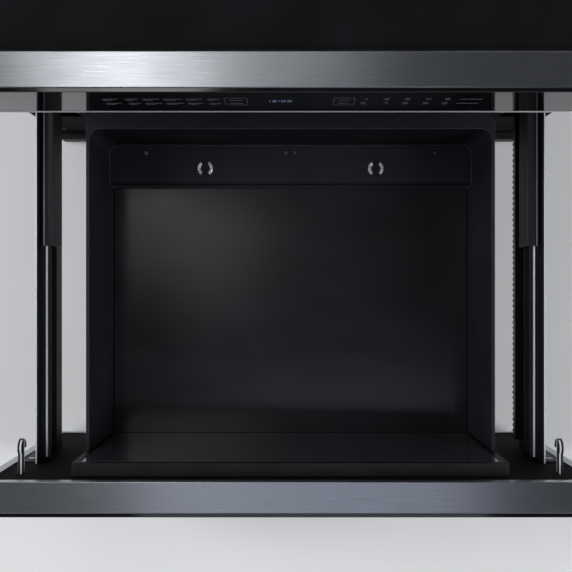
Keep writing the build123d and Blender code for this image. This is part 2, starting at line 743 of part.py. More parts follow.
def interlock_switch():
    """Snap switch on the roof of the pocket, hollow over its button, with three blade terminals."""
    x = (HOLDER_X[0] + 2, HOLDER_X[1])
    body = block(x, depth(8, 36), (HOLDER_Z[1], SWITCH_TOP))
    body -= button_span((HOLDER_Z[1] - 1, HOLDER_Z[1] + BUTTON_IN + BUTTON_STROKE + 1), PIN_CLEAR)
    for near in (12, 21, 30):
        body += block((x[0] + 6, x[0] + 12), depth(near, near + 0.8), (SWITCH_TOP, SWITCH_TOP + 8))
    return body


def switch_button():
    """Sprung button that the hook's head presses."""
    return button_span((BUTTON_TIP, HOLDER_Z[1] + BUTTON_IN), 0)


# Microwave supply ---------------------------------------------------------------------------------
GUIDE_HALF = 45.0
GUIDE_H = 40.0
GUIDE_T = 1.2
MAGNETRON_Y = CAVITY_D + 60.0
GUIDE_DEPTHS = (PORT_FROM_FLANGE - 56.0, MAGNETRON_Y + 48.0)
ANTENNA_R = 8.0
ANTENNA_L = 26.0
ANODE_R = 19.0
YOKE_HALF = (40.0, 30.0)
YOKE_H = 74.0
YOKE_T = 3.0
YOKE_EAR = 4.0
FINS = 6
FIN_T = 0.8
FILTER_HALF = 26.0
FILTER_H = 26.0
STIR_SHAFT_R = 2.5
STIR_R = 66.0
STIR_Z = CAVITY_TOP - 8.0
STIR_MOTOR_R = 24.0
STIR_MOTOR_H = 20.0
STIR_MOTOR_BORE = 12.0
STIR_COVER_T = 1.5
STIR_COVER_CORNER = 20.0
STIR_COVER_LOW = CAVITY_TOP - 15.0


def waveguide():
    """Sheet duct from the magnetron to the ceiling port, closed at both ends."""
    low = CAVITY_TOP + SHEET
    x = (-GUIDE_HALF, GUIDE_HALF)
    y = depth(*GUIDE_DEPTHS)
    duct = block(x, y, (low, low + GUIDE_H))
    inside = [(near + GUIDE_T, far - GUIDE_T) for near, far in (x, y, (low, low + GUIDE_H))]
    duct -= block(*inside)
    port = FLANGE_Y + PORT_FROM_FLANGE
    duct -= rod("Z", (0, port, low), 10, PORT_R)
    duct -= rod("Z", (0, port, low + GUIDE_H), 10, STIR_SHAFT_R + SHAFT_CLEAR)
    duct -= bar("Z", (0, FLANGE_Y + MAGNETRON_Y, low), 10, ANTENNA_R + 2, 12)
    return duct


def stirrer():
    """Four pitched vanes on a shaft that hangs from the motor."""
    centre = (0, FLANGE_Y + PORT_FROM_FLANGE)
    top = CAVITY_TOP + SHEET + GUIDE_H + STIR_MOTOR_BORE
    length = top - STIR_Z
    wheel = rod("Z", (*centre, STIR_Z + length / 2), length, STIR_SHAFT_R)
    wheel += bar("Z", (*centre, STIR_Z), 3, 12, 8)
    for quarter in range(4):
        vane = Pos(STIR_R / 2 + 4, 0, 0) * Rot(12, 0, 0) * Box(STIR_R - 8, 30, 1.2)
        wheel += Pos(*centre, STIR_Z) * Rot(0, 0, 90 * quarter) * vane
    return wheel


def stirrer_cover():
    """Shallow dish under the ceiling port that keeps food off the vanes."""
    half = STIR_R + 12
    port = PORT_FROM_FLANGE
    y = depth(port - half, port + half)
    dish = block((-half, half), y, (STIR_COVER_LOW, CAVITY_TOP))
    dish = chamfer(dish.edges().filter_by(Axis.Z), STIR_COVER_CORNER)
    wall = STIR_COVER_T
    room = half - wall
    inner = block((-room, room), (y[0] + wall, y[1] - wall), (STIR_COVER_LOW + wall, CAVITY_TOP + 1))
    return dish - chamfer(inner.edges().filter_by(Axis.Z), STIR_COVER_CORNER - wall)


def stirrer_motor():
    """Flat synchronous motor on the waveguide, with two fixing ears."""
    low = CAVITY_TOP + SHEET + GUIDE_H
    centre = (0, FLANGE_Y + PORT_FROM_FLANGE)
    body = bar("Z", (*centre, low + STIR_MOTOR_H / 2), STIR_MOTOR_H, STIR_MOTOR_R, 24)
    ears = STIR_MOTOR_R + 10
    body += block((-ears, ears), (centre[1] - 5, centre[1] + 5), (low, low + EAR_T))
    body -= rod("Z", (*centre, low), 2 * (STIR_MOTOR_BORE + RUN_GAP), STIR_SHAFT_R + SHAFT_CLEAR)
    return body


def magnetron():
    """Finned anode between two yoke plates, filter box below, antenna up into the waveguide."""
    top = CAVITY_TOP + SHEET
    foot = top - YOKE_H
    y = FLANGE_Y + MAGNETRON_Y
    across = (y - YOKE_HALF[1], y + YOKE_HALF[1])
    plate = YOKE_HALF[0] + YOKE_EAR
    body = block((-plate, plate), (across[0] - YOKE_EAR, across[1] + YOKE_EAR), (top - YOKE_T, top))
    body += ring((-YOKE_HALF[0], YOKE_HALF[0]), across, (foot, top), YOKE_T)
    body += bar("Z", (0, y, (foot + top) / 2), YOKE_H - YOKE_T, ANODE_R, 12)
    pitch = YOKE_H / (FINS + 1)
    for fin in range(FINS):
        level = foot + (fin + 1) * pitch
        body += block((-YOKE_HALF[0], YOKE_HALF[0]), across, (level - FIN_T / 2, level + FIN_T / 2))
    body += block((-FILTER_HALF, FILTER_HALF), (y - FILTER_HALF, y + FILTER_HALF), (foot - FILTER_H, foot))
    return body + bar("Z", (0, y, top + ANTENNA_L / 2), ANTENNA_L, ANTENNA_R, 12)


DUCT_T = 1.5
DUCT_NEAR = CAVITY_D + 12.0


def fan_limits():
    """The fan frame's extent on each axis, against the back panel."""
    half = FAN_SIZE / 2
    back = CASE_BACK - SHEET
    return (-half, half), (back - FAN_SHROUD_D, back), (FAN_Z - half, FAN_Z + half)


def air_duct():
    """Four-sided duct from the fan round the magnetron."""
    x, y, z = fan_limits()
    duct = ring(x, (FLANGE_Y + DUCT_NEAR, y[0]), z, DUCT_T)
    half = YOKE_HALF[0] + YOKE_EAR + 1
    reach = YOKE_HALF[1] + YOKE_EAR + 1
    y = depth(MAGNETRON_Y - reach, MAGNETRON_Y + reach)
    return duct - block((-half, half), y, (z[1] - 2 * DUCT_T, z[1] + 1))


def fan_shroud():
    """Square fan frame with a round throat and four arms that hold the motor."""
    x, y, z = fan_limits()
    middle = sum(y) / 2
    frame = block(x, y, z) - rod("Y", (0, middle, FAN_Z), FAN_SHROUD_D + 2, FAN_R)
    for turn in (45, 135):
        frame += Pos(0, y[0] + ARM_T / 2, FAN_Z) * Rot(0, turn, 0) * Box(2 * FAN_R + 4, ARM_T, ARM_W)
    frame -= rod("Y", (0, middle, FAN_Z), FAN_SHROUD_D + 2, FAN_SHAFT_R + 1)
    return frame


def fan_motor():
    """Shaded-pole motor ahead of the fan frame's arms: square core, coil below and a bored hub."""
    back = fan_limits()[1][0]
    end = FAN_MOTOR_D / 4
    core = (back - FAN_MOTOR_D + end, back - end)
    foot = FAN_Z - FAN_CORE - FAN_COIL
    coil = FAN_CORE - FAN_COIL / 2
    body = block((-FAN_CORE, FAN_CORE), core, (foot, FAN_Z + FAN_CORE))
    body += block((-coil, coil), (core[0] - end + 1, core[1] + end - 1), (foot + 4, foot + 4 + FAN_COIL))
    body += bar("Y", (0, back - FAN_MOTOR_D / 2, FAN_Z), FAN_MOTOR_D, FAN_CAP_R, 8)
    return body - rod("Y", (0, back, FAN_Z), 2 * FAN_MOTOR_BORE, FAN_SHAFT_R + SHAFT_CLEAR)


def fan_wheel():
    """Pitched blades round a hub, on the motor's shaft."""
    back = fan_limits()[1][0]
    middle = back + FAN_SHROUD_D / 2 + 2
    hub = bar("Y", (0, middle, FAN_Z), 18, FAN_HUB_R, 2 * FAN_BLADES)
    front = back - FAN_MOTOR_BORE + RUN_GAP
    hub += rod("Y", (0, (front + middle) / 2, FAN_Z), middle - front, FAN_SHAFT_R)
    span = FAN_R - FAN_TIP_GAP - FAN_HUB_R
    for blade in range(FAN_BLADES):
        vane = Pos(FAN_HUB_R + span / 2 - 2, 0, 0) * Rot(32, 0, 0) * Box(span + 4, 1.2, 24)
        hub += Pos(0, middle, FAN_Z) * Rot(0, 360 / FAN_BLADES * blade, 0) * vane
    return hub


STRAP_T = 2.0
CORE_FROM_CASE = 72.0
CORE_FROM_CAVITY = 63.0
CORE_W = 102.0
CORE_D = 60.0
CORE_H = 88.0
CAN_FROM_CORE = 101.0
CAN_FROM_CAVITY = 58.0
CAN_W = 50.0
CAN_D = 35.0
CAN_H = 102.0
MAINS_BOARD_OFF = 8.0
MAINS_BOARD_Z = (150.0, CAVITY_TOP - 4.0)
MAINS_BOARD_FROM_CAVITY = (54.0, 148.0)
MAINS_PARTS = ((14.0, 170.0, 30.0, 24.0), (54.0, 175.0, 40.0, 18.0), (24.0, 225.0, 37.0, 22.0))


def hv_transformer():
    """Laminated core on a mounting foot, with its two windings."""
    middle = -CASE_HALF + CORE_FROM_CASE
    y = depth(CAVITY_D + CORE_FROM_CAVITY, CAVITY_D + CORE_FROM_CAVITY + CORE_D)
    base = SHEET + STRAP_T
    limb = CORE_W / 6
    window = (base + limb, base + CORE_H - limb)
    foot = block((middle - CORE_W / 2 - 6, middle + CORE_W / 2 + 6), (y[0] - 20, y[1] + 20), (SHEET, base))
    core = block((middle - CORE_W / 2, middle + CORE_W / 2), y, (base, base + CORE_H))
    for side in (-1, 1):
        centre = middle + side * 1.5 * limb
        core -= block((centre - limb / 2, centre + limb / 2), (y[0] - 1, y[1] + 1), window)
    reach = 2 * limb - 1
    inside = (window[0] + 1, window[1] - 1)
    winding = block((middle - reach, middle + reach), (y[0] - CORE_W / 6, y[1] + CORE_W / 6), inside)
    winding = chamfer(winding.edges().filter_by(Axis.Z), limb / 2)
    return [foot + core, winding - core]


def hv_capacitor():
    """Oval can in a strap on the base, with two terminals."""
    middle = -CASE_HALF + CORE_FROM_CASE + CAN_FROM_CORE
    near = CAVITY_D + CAN_FROM_CAVITY
    y = depth(near, near + CAN_D)
    base = SHEET + STRAP_T
    can = block((middle - CAN_W / 2, middle + CAN_W / 2), y, (base, base + CAN_H))
    can = chamfer(can.edges().filter_by(Axis.Z), CAN_D / 3)
    strap = block((middle - CAN_W / 2 - 12, middle + CAN_W / 2 + 12), (y[0] + 8, y[1] - 8), (SHEET, base))
    blade = (sum(y) / 2 - 0.4, sum(y) / 2 + 0.4)
    for side in (middle - CAN_W / 4, middle + CAN_W / 4):
        can += block((side - 3, side + 3), blade, (base + CAN_H, base + CAN_H + 10))
    return [can, strap]


def power_board():
    """Mains filter board on posts off the case side."""
    inside = -CASE_HALF + SHEET
    face = inside + MAINS_BOARD_OFF + BOARD_T
    y = depth(*(CAVITY_D + limit for limit in MAINS_BOARD_FROM_CAVITY))
    board = block((inside + MAINS_BOARD_OFF, face), y, MAINS_BOARD_Z)
    for end in (y[0] + 8, y[1] - 8):
        for level in (MAINS_BOARD_Z[0] + 8, MAINS_BOARD_Z[1] - 8):
            board += bar("X", (inside + MAINS_BOARD_OFF / 2, end, level), MAINS_BOARD_OFF, POST_R)
    for near, low, height, thick in MAINS_PARTS:
        start = y[0] + near
        board += block((face, face + thick), (start, start + 26), (low, low + height))
    return board


def cord_gland():
    """Inlet bush with eight-sided collars in the back plate, clear right through for a supply cord."""
    neck = bar("Y", (GLAND_X, CASE_BACK - SHEET / 2, GLAND_Z), GLAND_L, GLAND_R - SHAFT_CLEAR, 24)
    for middle in (CASE_BACK + COLLAR_T / 2, CASE_BACK - SHEET - COLLAR_T / 2):
        neck += bar("Y", (GLAND_X, middle, GLAND_Z), COLLAR_T, GLAND_R + 4, 8)
    return neck - rod("Y", (GLAND_X, CASE_BACK, GLAND_Z), 3 * GLAND_L, CORD_BORE_R)


def cavity_lamp():
    """Lamp holder outside the cavity's back wall, over its light holes."""
    y = depth(CAVITY_D + SHEET, CAVITY_D + SHEET + LAMP_D)
    body = block((LAMP_X - LAMP_HALF, LAMP_X + LAMP_HALF), y, (LAMP_Z - LAMP_HALF, LAMP_Z + LAMP_HALF))
    room = LAMP_HALF - LAMP_WALL
    floor = y[1] - LAMP_WALL
    body -= block((LAMP_X - room, LAMP_X + room), (y[0] - 1, floor), (LAMP_Z - room, LAMP_Z + room))
    return body + bar("Y", (LAMP_X, floor - BULB_L / 2, LAMP_Z), BULB_L, BULB_R, 12)


def case_screws():
    """Hex-head screws of the case and the back panel."""
    heads = []
    for near in (40, CASE_D / 2, CASE_D - 20):
        for level in (60, CASE_TOP - 30):
            heads += both(bar("X", (CASE_HALF + 1, FLANGE_Y + near, level), 2, 4))
    for x in (-CASE_HALF + 12, 0, CASE_HALF - 12):
        heads.append(bar("Y", (x, CASE_BACK + 1, CASE_TOP - 10), 2, 4))
    return heads


def door_bumpers():
    """Rubber pads on the flange that meet the closed door."""
    pads = []
    for level in (DOOR_LOW + 26, DOOR_TOP - 19):
        pads += both(bar("Y", (FLANGE_HOLE_X, FLANGE_Y - 0.5, level), 1.0, 6, 8))
    return pads


# Drawer -------------------------------------------------------------------------------------------
TRAY_IN = MOUTH_HALF - TRAY_SIDE_CLEAR - TRAY_RIM_W
TRAY_END = FLANGE_Y - TRAY_BACK
SHELF_FRONT = TRAY_END - SHELF_D
FLOOR_TOP = TRAY_LOW + TRAY_FLOOR_T


def tray():
    """Moulded tray with a rim, a lipped deck and a hollow shelf at its back, and rounded corners."""
    outside = TRAY_IN + TRAY_WALL
    back = TRAY_END + TRAY_WALL
    shell = block((-outside, outside), (BLOCK_BACK, back), (TRAY_LOW, TRAY_TOP))
    rim = TRAY_IN + TRAY_RIM_W
    deck = TRAY_END + TRAY_DECK
    shell += block((-rim, rim), (BLOCK_BACK, deck), (TRAY_TOP - TRAY_RIM_T, TRAY_TOP))
    corners = shell.edges().filter_by(Axis.Z).filter_by_position(Axis.Y, back - 1, deck + 1)
    shell = fillet(corners, TRAY_CORNER_R)
    lip = (-rim + TRAY_CORNER_R, rim - TRAY_CORNER_R)
    shell += block(lip, (deck - TRAY_RIM_T, deck), (TRAY_TOP - TRAY_DECK_LIP, TRAY_TOP))
    room = block((-TRAY_IN, TRAY_IN), (BLOCK_BACK - 20, TRAY_END), (FLOOR_TOP, TRAY_TOP + 10))
    room = fillet(room.edges().filter_by(Axis.Z).group_by(Axis.Y)[-1], TRAY_CORNER_R - TRAY_WALL)
    room = fillet(room.edges().group_by(Axis.Z)[0], TRAY_EDGE_R)
    shell -= room
    sunk = TRAY_WALL / 4
    x = (-TRAY_IN - sunk, TRAY_IN + sunk)
    step = block(x, (SHELF_FRONT, TRAY_END + sunk), (FLOOR_TOP - sunk, SHELF_TOP))
    nose = step.edges().filter_by(Axis.X).group_by(Axis.Y)[0].sort_by(Axis.Z)[-1]
    step = fillet(nose, SHELF_NOSE_R)
    hollow = block(
        (-TRAY_IN + TRAY_EDGE_R, TRAY_IN - TRAY_EDGE_R),
        (SHELF_FRONT + TRAY_WALL + SHELF_NOSE_R, TRAY_END - TRAY_EDGE_R),
        (TRAY_LOW - 1, SHELF_TOP - TRAY_FLOOR_T),
    )
    return shell + step - hollow


def floor_plate():
    """Glossy plate let into the tray floor, a groove short of the shelf."""
    inset = TRAY_EDGE_R / 2
    y = (BLOCK_BACK + SEAT_GAP, SHELF_FRONT - FLOOR_GROOVE)
    plate = block((-TRAY_IN + inset, TRAY_IN - inset), y, (FLOOR_TOP, FLOOR_TOP + FLOOR_PLATE_T))
    plate = chamfer(plate.edges().group_by(Axis.Z)[0].filter_by(Axis.Y), TRAY_EDGE_R / 2)
    return fillet(plate.edges().filter_by(Axis.Z), 1.5)


def rear_caps():
    """Two ring caps on the shelf."""
    middle = (CAP_X, TRAY_END - CAP_FROM_BACK)
    cap = bar("Z", (*middle, SHELF_TOP + CAP_T / 2), CAP_T, CAP_R, 32)
    cap = chamfer(cap.edges().group_by(Axis.Z)[-1], CAP_BEVEL)
    cap -= bar("Z", (*middle, SHELF_TOP + CAP_T), 2 * (CAP_T - CAP_FLOOR_T), CAP_HOLE_R, 24)
    return both(cap)


TAB_X = HALF - 13.0
TAB_Z = (SIDE_PLATE_LOW + 6.0, SIDE_PLATE_TOP - 6.0)
FRAME_T = 1.2
FRAME_BACK = DOOR_BACK - WRAP_T


def side_plates():
    """Upright drawer sides outboard of the slides, folded out in front and screwed to the door."""
    y = (FRAME_BACK, DOOR_BACK + SIDE_PLATE_L)
    plate = block((SIDE_PLATE_IN, SIDE_PLATE_IN + SIDE_PLATE_T), y, (SIDE_PLATE_LOW, SIDE_PLATE_TOP))
    plate = chamfer(plate.edges().filter_by(Axis.X).group_by(Axis.Y)[-1], 12)
    plate += block((SIDE_PLATE_IN, TAB_X), (FRAME_BACK, FRAME_BACK + SIDE_PLATE_T), TAB_Z)
    return both(plate)


WINDOW_HALF = MOUTH_HALF - 32.0
WINDOW_Z = (BLOCK_LOW + 25.0, BLOCK_TOP - 23.5)
GLASS_INSET = 8.0


def door_frame():
    """Pressed door pan with a window, hook slots and the ears that carry the hook pins."""
    x = (-HALF + WRAP_T + SEAT_GAP, HALF - WRAP_T - SEAT_GAP)
    z = (DOOR_LOW + WRAP_T + SEAT_GAP, DOOR_TOP - WRAP_T - SEAT_GAP)
    pan = block(x, (DOOR_FRONT, FRAME_BACK), z)
    inner = block(
        (x[0] + FRAME_T, x[1] - FRAME_T),
        (DOOR_FRONT - 1, FRAME_BACK - FRAME_T),
        (z[0] + FRAME_T, z[1] - FRAME_T),
    )
    pan -= inner
    pan -= block((-WINDOW_HALF, WINDOW_HALF), (DOOR_FRONT, DOOR_BACK), WINDOW_Z)
    slot = (HOOK_X[0] - RUN_GAP, HOOK_X[1] + RUN_GAP)
    height = (HOOK_Z - HOOK_SHANK_H / 2 - 3, HOOK_Z + HOOK_SHANK_H / 2 + 7)
    pivot = DOOR_BACK - HOOK_PIVOT_IN
    for piece in both(block(slot, (DOOR_FRONT, DOOR_BACK), height)):
        pan -= piece
    ear_spans = ((slot[0] - EAR_T, slot[0]), (slot[1], slot[1] + EAR_T))
    for span in ear_spans:
        ear = block(span, (pivot - 6, FRAME_BACK - FRAME_T), (HOOK_Z - 7, HOOK_Z + 7))
        ear -= rod("X", (sum(span) / 2, pivot, HOOK_Z), 2 * EAR_T, PIN_R + PIN_CLEAR)
        for piece in both(ear):
            pan += piece
    return pan


def door_screen():
    """Shielding screen across the door's window."""
    y = (FRAME_BACK - FRAME_T - SCREEN_T, FRAME_BACK - FRAME_T)
    return block((-WINDOW_HALF - 8, WINDOW_HALF + 8), y, (WINDOW_Z[0] - 8, WINDOW_Z[1] + 8))


def door_wrap():
    """Brushed steel wrap round the door's edges, lipped over the back."""
    x = (-HALF, HALF)
    z = (DOOR_LOW, DOOR_TOP)
    wrap = ring(x, (DOOR_FRONT, DOOR_BACK), z, WRAP_T)
    return wrap + ring(x, (DOOR_BACK - WRAP_T, DOOR_BACK), z, WRAP_LIP)


def front_glass():
    """Black glass over the whole door front."""
    glass = block((-HALF, HALF), (DOOR_FRONT - DOOR_GLASS_T, DOOR_FRONT), (DOOR_LOW, DOOR_TOP))
    return chamfer(glass.edges().group_by(Axis.Y)[0], 0.5)


def block_limits():
    half = MOUTH_HALF - BLOCK_CLEAR
    return (-half, half), (BLOCK_LOW, BLOCK_TOP)


def choke_cover():
    """Moulded frame that plugs the cavity mouth and holds the inner glass."""
    x, z = block_limits()
    cover = block(x, (FRAME_BACK, BLOCK_BACK), z)
    cover = fillet(cover.edges().filter_by(Axis.Y), 3)
    cover -= block(
        (x[0] + BLOCK_FRAME, x[1] - BLOCK_FRAME),
        (FRAME_BACK - 1, BLOCK_BACK + 1),
        (z[0] + BLOCK_FRAME, z[1] - BLOCK_FRAME),
    )
    room = GLASS_INSET - SEAT_GAP
    cover -= block(
        (x[0] + room, x[1] - room),
        (BLOCK_BACK - INNER_GLASS_T, BLOCK_BACK + 1),
        (z[0] + room, z[1] - room),
    )
    return cover


def inner_glass():
    """Glossy inner pane flush with the block's face."""
    x, z = block_limits()
    return block(
        (x[0] + GLASS_INSET, x[1] - GLASS_INSET),
        (BLOCK_BACK - INNER_GLASS_T, BLOCK_BACK),
        (z[0] + GLASS_INSET, z[1] - GLASS_INSET),
    )


RIVET_DEPTHS = (-336.0, -73.0)


def drawer_screws():
    """Small heads of the drawer: shelf screws, slide rivets and the side plates' door screws."""
    heads = []
    for x in (5.5, 171.5):
        heads += both(bar("Z", (x, TRAY_END - 10, SHELF_TOP + 0.7), 1.4, 2.2, 8))
    for near in RIVET_DEPTHS:
        middle = SIDE_PLATE_IN + SIDE_PLATE_T + 0.9
        heads += both(bar("X", (middle, FLANGE_Y + near, SLIDE_Z + 8), 1.8, 4, 8))
    for level in (TAB_Z[0] + 14, TAB_Z[1] - 14):
        heads += both(bar("Y", (TAB_X - 9, FRAME_BACK + SIDE_PLATE_T + 0.35, level), 0.7, 4, 8))
    return heads


# Output -------------------------------------------------------------------------------------------
save("base_pan", base_pan())
save("outer_case", outer_case())
save("rear_panel", rear_panel())
save("front_flange", *front_flange())
save("side_flanges", *side_flanges())
save("bottom_vent", bottom_vent())
save("cavity_box", cavity_box())
save("cavity_supports", *cavity_supports())
save("panel_frame", panel_frame())
save("control_trim", control_trim())
save("control_glass", control_glass())
save("panel_housing", panel_housing())
save("control_board", control_board())
save("display_module", display_module())

rails = {
    "rail_outer": extruded(fixed_section(), depth(*FIXED_RAIL)),
    "rail_mid": extruded(mid_section(), run_out(MID_RAIL_SHUT, 0.5)),
    "rail_inner": extruded(inner_section(), run_out(INNER_RAIL_SHUT, 1)),
}
for name, rail in rails.items():
    save(f"{name}_right", rail)
    save(f"{name}_left", other_side(rail))
save("rail_supports", rail_support(True), rail_support(False))
for name, pieces in (("ball_cages_outer", outer_cage()), ("ball_cages_inner", inner_cage())):
    save(name, *[twin for piece in pieces for twin in both(piece)])

save("drive_pinion", drive_pinion())
save("drive_rack", drive_rack())
save("drive_gearbox", drive_gearbox())
save("drive_motor", drive_motor())

for name, piece in (("latch_hook", latch_hook()), ("switch_button", switch_button())):
    save(f"{name}_right", piece)
    save(f"{name}_left", other_side(piece))
save("interlock_holders", *both(interlock_holder()))
save("interlock_switches", *both(interlock_switch()))

save("waveguide", waveguide())
save("stirrer", stirrer())
save("stirrer_cover", stirrer_cover())
save("stirrer_motor", stirrer_motor())
save("magnetron", magnetron())
save("air_duct", air_duct())
save("fan_shroud", fan_shroud())
save("fan_motor", fan_motor())
save("fan_wheel", fan_wheel())
save("hv_transformer", *hv_transformer())
save("hv_capacitor", *hv_capacitor())
save("power_board", power_board())
save("cord_gland", cord_gland())
save("cavity_lamp", cavity_lamp())
save("case_screws", *case_screws())
save("door_bumpers", *door_bumpers())

save("tray", tray())
save("floor_plate", floor_plate())
save("rear_caps", *rear_caps())
save("side_plates", *side_plates())
save("door_frame", door_frame())
save("door_screen", door_screen())
save("door_wrap", door_wrap())
save("front_glass", front_glass())
save("choke_cover", choke_cover())
save("inner_glass", inner_glass())
save("drawer_screws", *drawer_screws())
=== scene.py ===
import json
import math

import bmesh
import bpy
from mathutils import Matrix, Vector


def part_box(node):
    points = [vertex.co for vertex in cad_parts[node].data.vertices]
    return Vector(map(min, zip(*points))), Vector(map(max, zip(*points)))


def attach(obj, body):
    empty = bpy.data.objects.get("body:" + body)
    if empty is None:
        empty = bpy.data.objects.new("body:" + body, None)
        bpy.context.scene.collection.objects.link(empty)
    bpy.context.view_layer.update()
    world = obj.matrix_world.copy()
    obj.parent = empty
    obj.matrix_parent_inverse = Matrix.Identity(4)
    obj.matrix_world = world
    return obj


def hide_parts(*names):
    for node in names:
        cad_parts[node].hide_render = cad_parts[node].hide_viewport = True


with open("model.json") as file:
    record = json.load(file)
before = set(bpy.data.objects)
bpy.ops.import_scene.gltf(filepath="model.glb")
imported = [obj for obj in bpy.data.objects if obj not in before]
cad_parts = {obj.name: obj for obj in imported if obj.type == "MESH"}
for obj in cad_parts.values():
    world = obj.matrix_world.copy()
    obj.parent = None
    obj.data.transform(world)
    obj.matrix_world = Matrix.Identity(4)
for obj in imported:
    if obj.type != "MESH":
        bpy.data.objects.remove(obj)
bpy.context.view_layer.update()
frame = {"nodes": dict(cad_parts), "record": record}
nodes = frame["nodes"]


# Units and small helpers --------------------------------------------------------------------------
def mm(value):
    """Millimetres to metres."""
    return value / 1000


def at(x, y, z):
    """A point given in millimetres."""
    return Vector((mm(x), mm(y), mm(z)))


def limits(node):
    """The low and the high corner of a node's box, in millimetres."""
    return [[round(value * 1000, 3) for value in corner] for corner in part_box(node)]


def linear(colour):
    """An sRGB hex value as linear RGBA."""
    channels = [int(colour[i:i + 2], 16) / 255 for i in (1, 3, 5)]
    return (*(c / 12.92 if c <= 0.04045 else ((c + 0.055) / 1.055) ** 2.4 for c in channels), 1.0)


# Materials ----------------------------------------------------------------------------------------
SHADER = "Principled BSDF"
# How a pattern is drawn: the texture and the output that is read. One light and one dark layer
# together are 0.31 of the size given.
CLOUDY = ("ShaderNodeTexNoise", "Fac")
CRYSTAL = ("ShaderNodeTexVoronoi", "Color")
CELLS = ("ShaderNodeTexVoronoi", "Distance")
LAYERS = ("ShaderNodeTexWave", "Fac")
# Most of a cloudy pattern's values lie between these
MIDDLE = (0.3, 0.7)
GLASS_IOR = 1.52


def add(tree, kind, links=None, **settings):
    """Add a node. Settings name its properties, or its inputs as in_Name; links go to its inputs."""
    item = tree.nodes.new(kind)
    for name, value in settings.items():
        if name.startswith("in_"):
            socket = name[3:].replace("_", " ")
            item.inputs[int(socket) if socket.isdigit() else socket].default_value = value
        else:
            setattr(item, name, value)
    for name, source in (links or {}).items():
        tree.links.new(source, item.inputs[name])
    return item


def finish(name, colours, rough, grain, patch, relief=0.0, drawn=CLOUDY, between=MIDDLE, **sockets):
    """
    A material. Its colour runs between two hex values over patches, and its roughness and relief
    follow the grain. Grain, patch and relief are real sizes in millimetres, a length or one per axis.
    Between gives the pattern's values at which the two colours are reached.
    """
    material = bpy.data.materials.new(name)
    material.use_nodes = True
    tree = material.node_tree
    shader = tree.nodes[SHADER]
    for socket, value in sockets.items():
        shader.inputs[socket.replace("_", " ")].default_value = value
    place = add(tree, "ShaderNodeTexCoord").outputs["Object"]
    signals = []
    for size, (texture, output) in ((grain, CLOUDY), (patch, drawn)):
        lengths = size if isinstance(size, tuple) else (size, size, size)
        scale = [1 / mm(length) for length in lengths]
        where = add(tree, "ShaderNodeMapping", {"Vector": place}, in_Scale=scale)
        pattern = add(tree, texture, {"Vector": where.outputs["Vector"]}, in_Scale=1.0)
        signals.append(pattern.outputs[output])
    grain_signal, patch_signal = signals
    ramp = add(tree, "ShaderNodeValToRGB", {"Fac": patch_signal})
    for stop, position, colour in zip(ramp.color_ramp.elements, between, colours):
        stop.position, stop.color = position, linear(colour)
    tree.links.new(ramp.outputs["Color"], shader.inputs["Base Color"])
    reach = add(
        tree, "ShaderNodeMapRange", {"Value": grain_signal},
        in_From_Min=MIDDLE[0], in_From_Max=MIDDLE[1], in_To_Min=rough[0], in_To_Max=rough[1],
    )
    tree.links.new(reach.outputs["Result"], shader.inputs["Roughness"])
    if relief:
        bump = add(tree, "ShaderNodeBump", {"Height": grain_signal}, in_Distance=mm(relief))
        tree.links.new(bump.outputs["Normal"], shader.inputs["Normal"])
    return material


def brushed_stainless():
    """Sheet ground along X, with its streak of light across the grain."""
    material = finish(
        "brushed_stainless", ("#B9BDC3", "#CDD0D5"), (0.27, 0.33), (30, 0.5, 0.5), (45, 0.5, 0.5), 0.001,
        Metallic=1.0, Anisotropic=0.75,
    )
    tree = material.node_tree
    grain = add(tree, "ShaderNodeTangent", direction_type="RADIAL", axis="X")
    tree.links.new(grain.outputs["Tangent"], tree.nodes[SHADER].inputs["Tangent"])
    return material


# Stainless steel. Real scratches are 0.05 mm apart; drawn 0.5 mm apart so that the render shows them.
STAINLESS = brushed_stainless()
# Bright anodised aluminium extrusion: satin, with faint draw lines along X
STRIP = finish(
    "anodised_strip", ("#B4B7BC", "#C3C6CA"), (0.3, 0.36), (80, 2, 2), (80, 1, 1), Metallic=0.55
)
# Toughened glass printed black behind: deep gloss with a trace of roller wave and dust
BLACK_GLASS = (("#060608", "#0B0B0E"), (0.05, 0.1), 14, 40)
GLASS = finish("black_glass", *BLACK_GLASS, IOR=GLASS_IOR)

# The screen behind the door's window: its margin outside the window, the spacing of its holes, the
# shares of that spacing between which a hole's edge lies, and the grey of its web
WINDOW_MARGIN = 8.0
HOLE_PITCH = 2.6
HOLE_EDGE = (0.3, 0.4)
WEB_COLOUR = "#1C1D21"


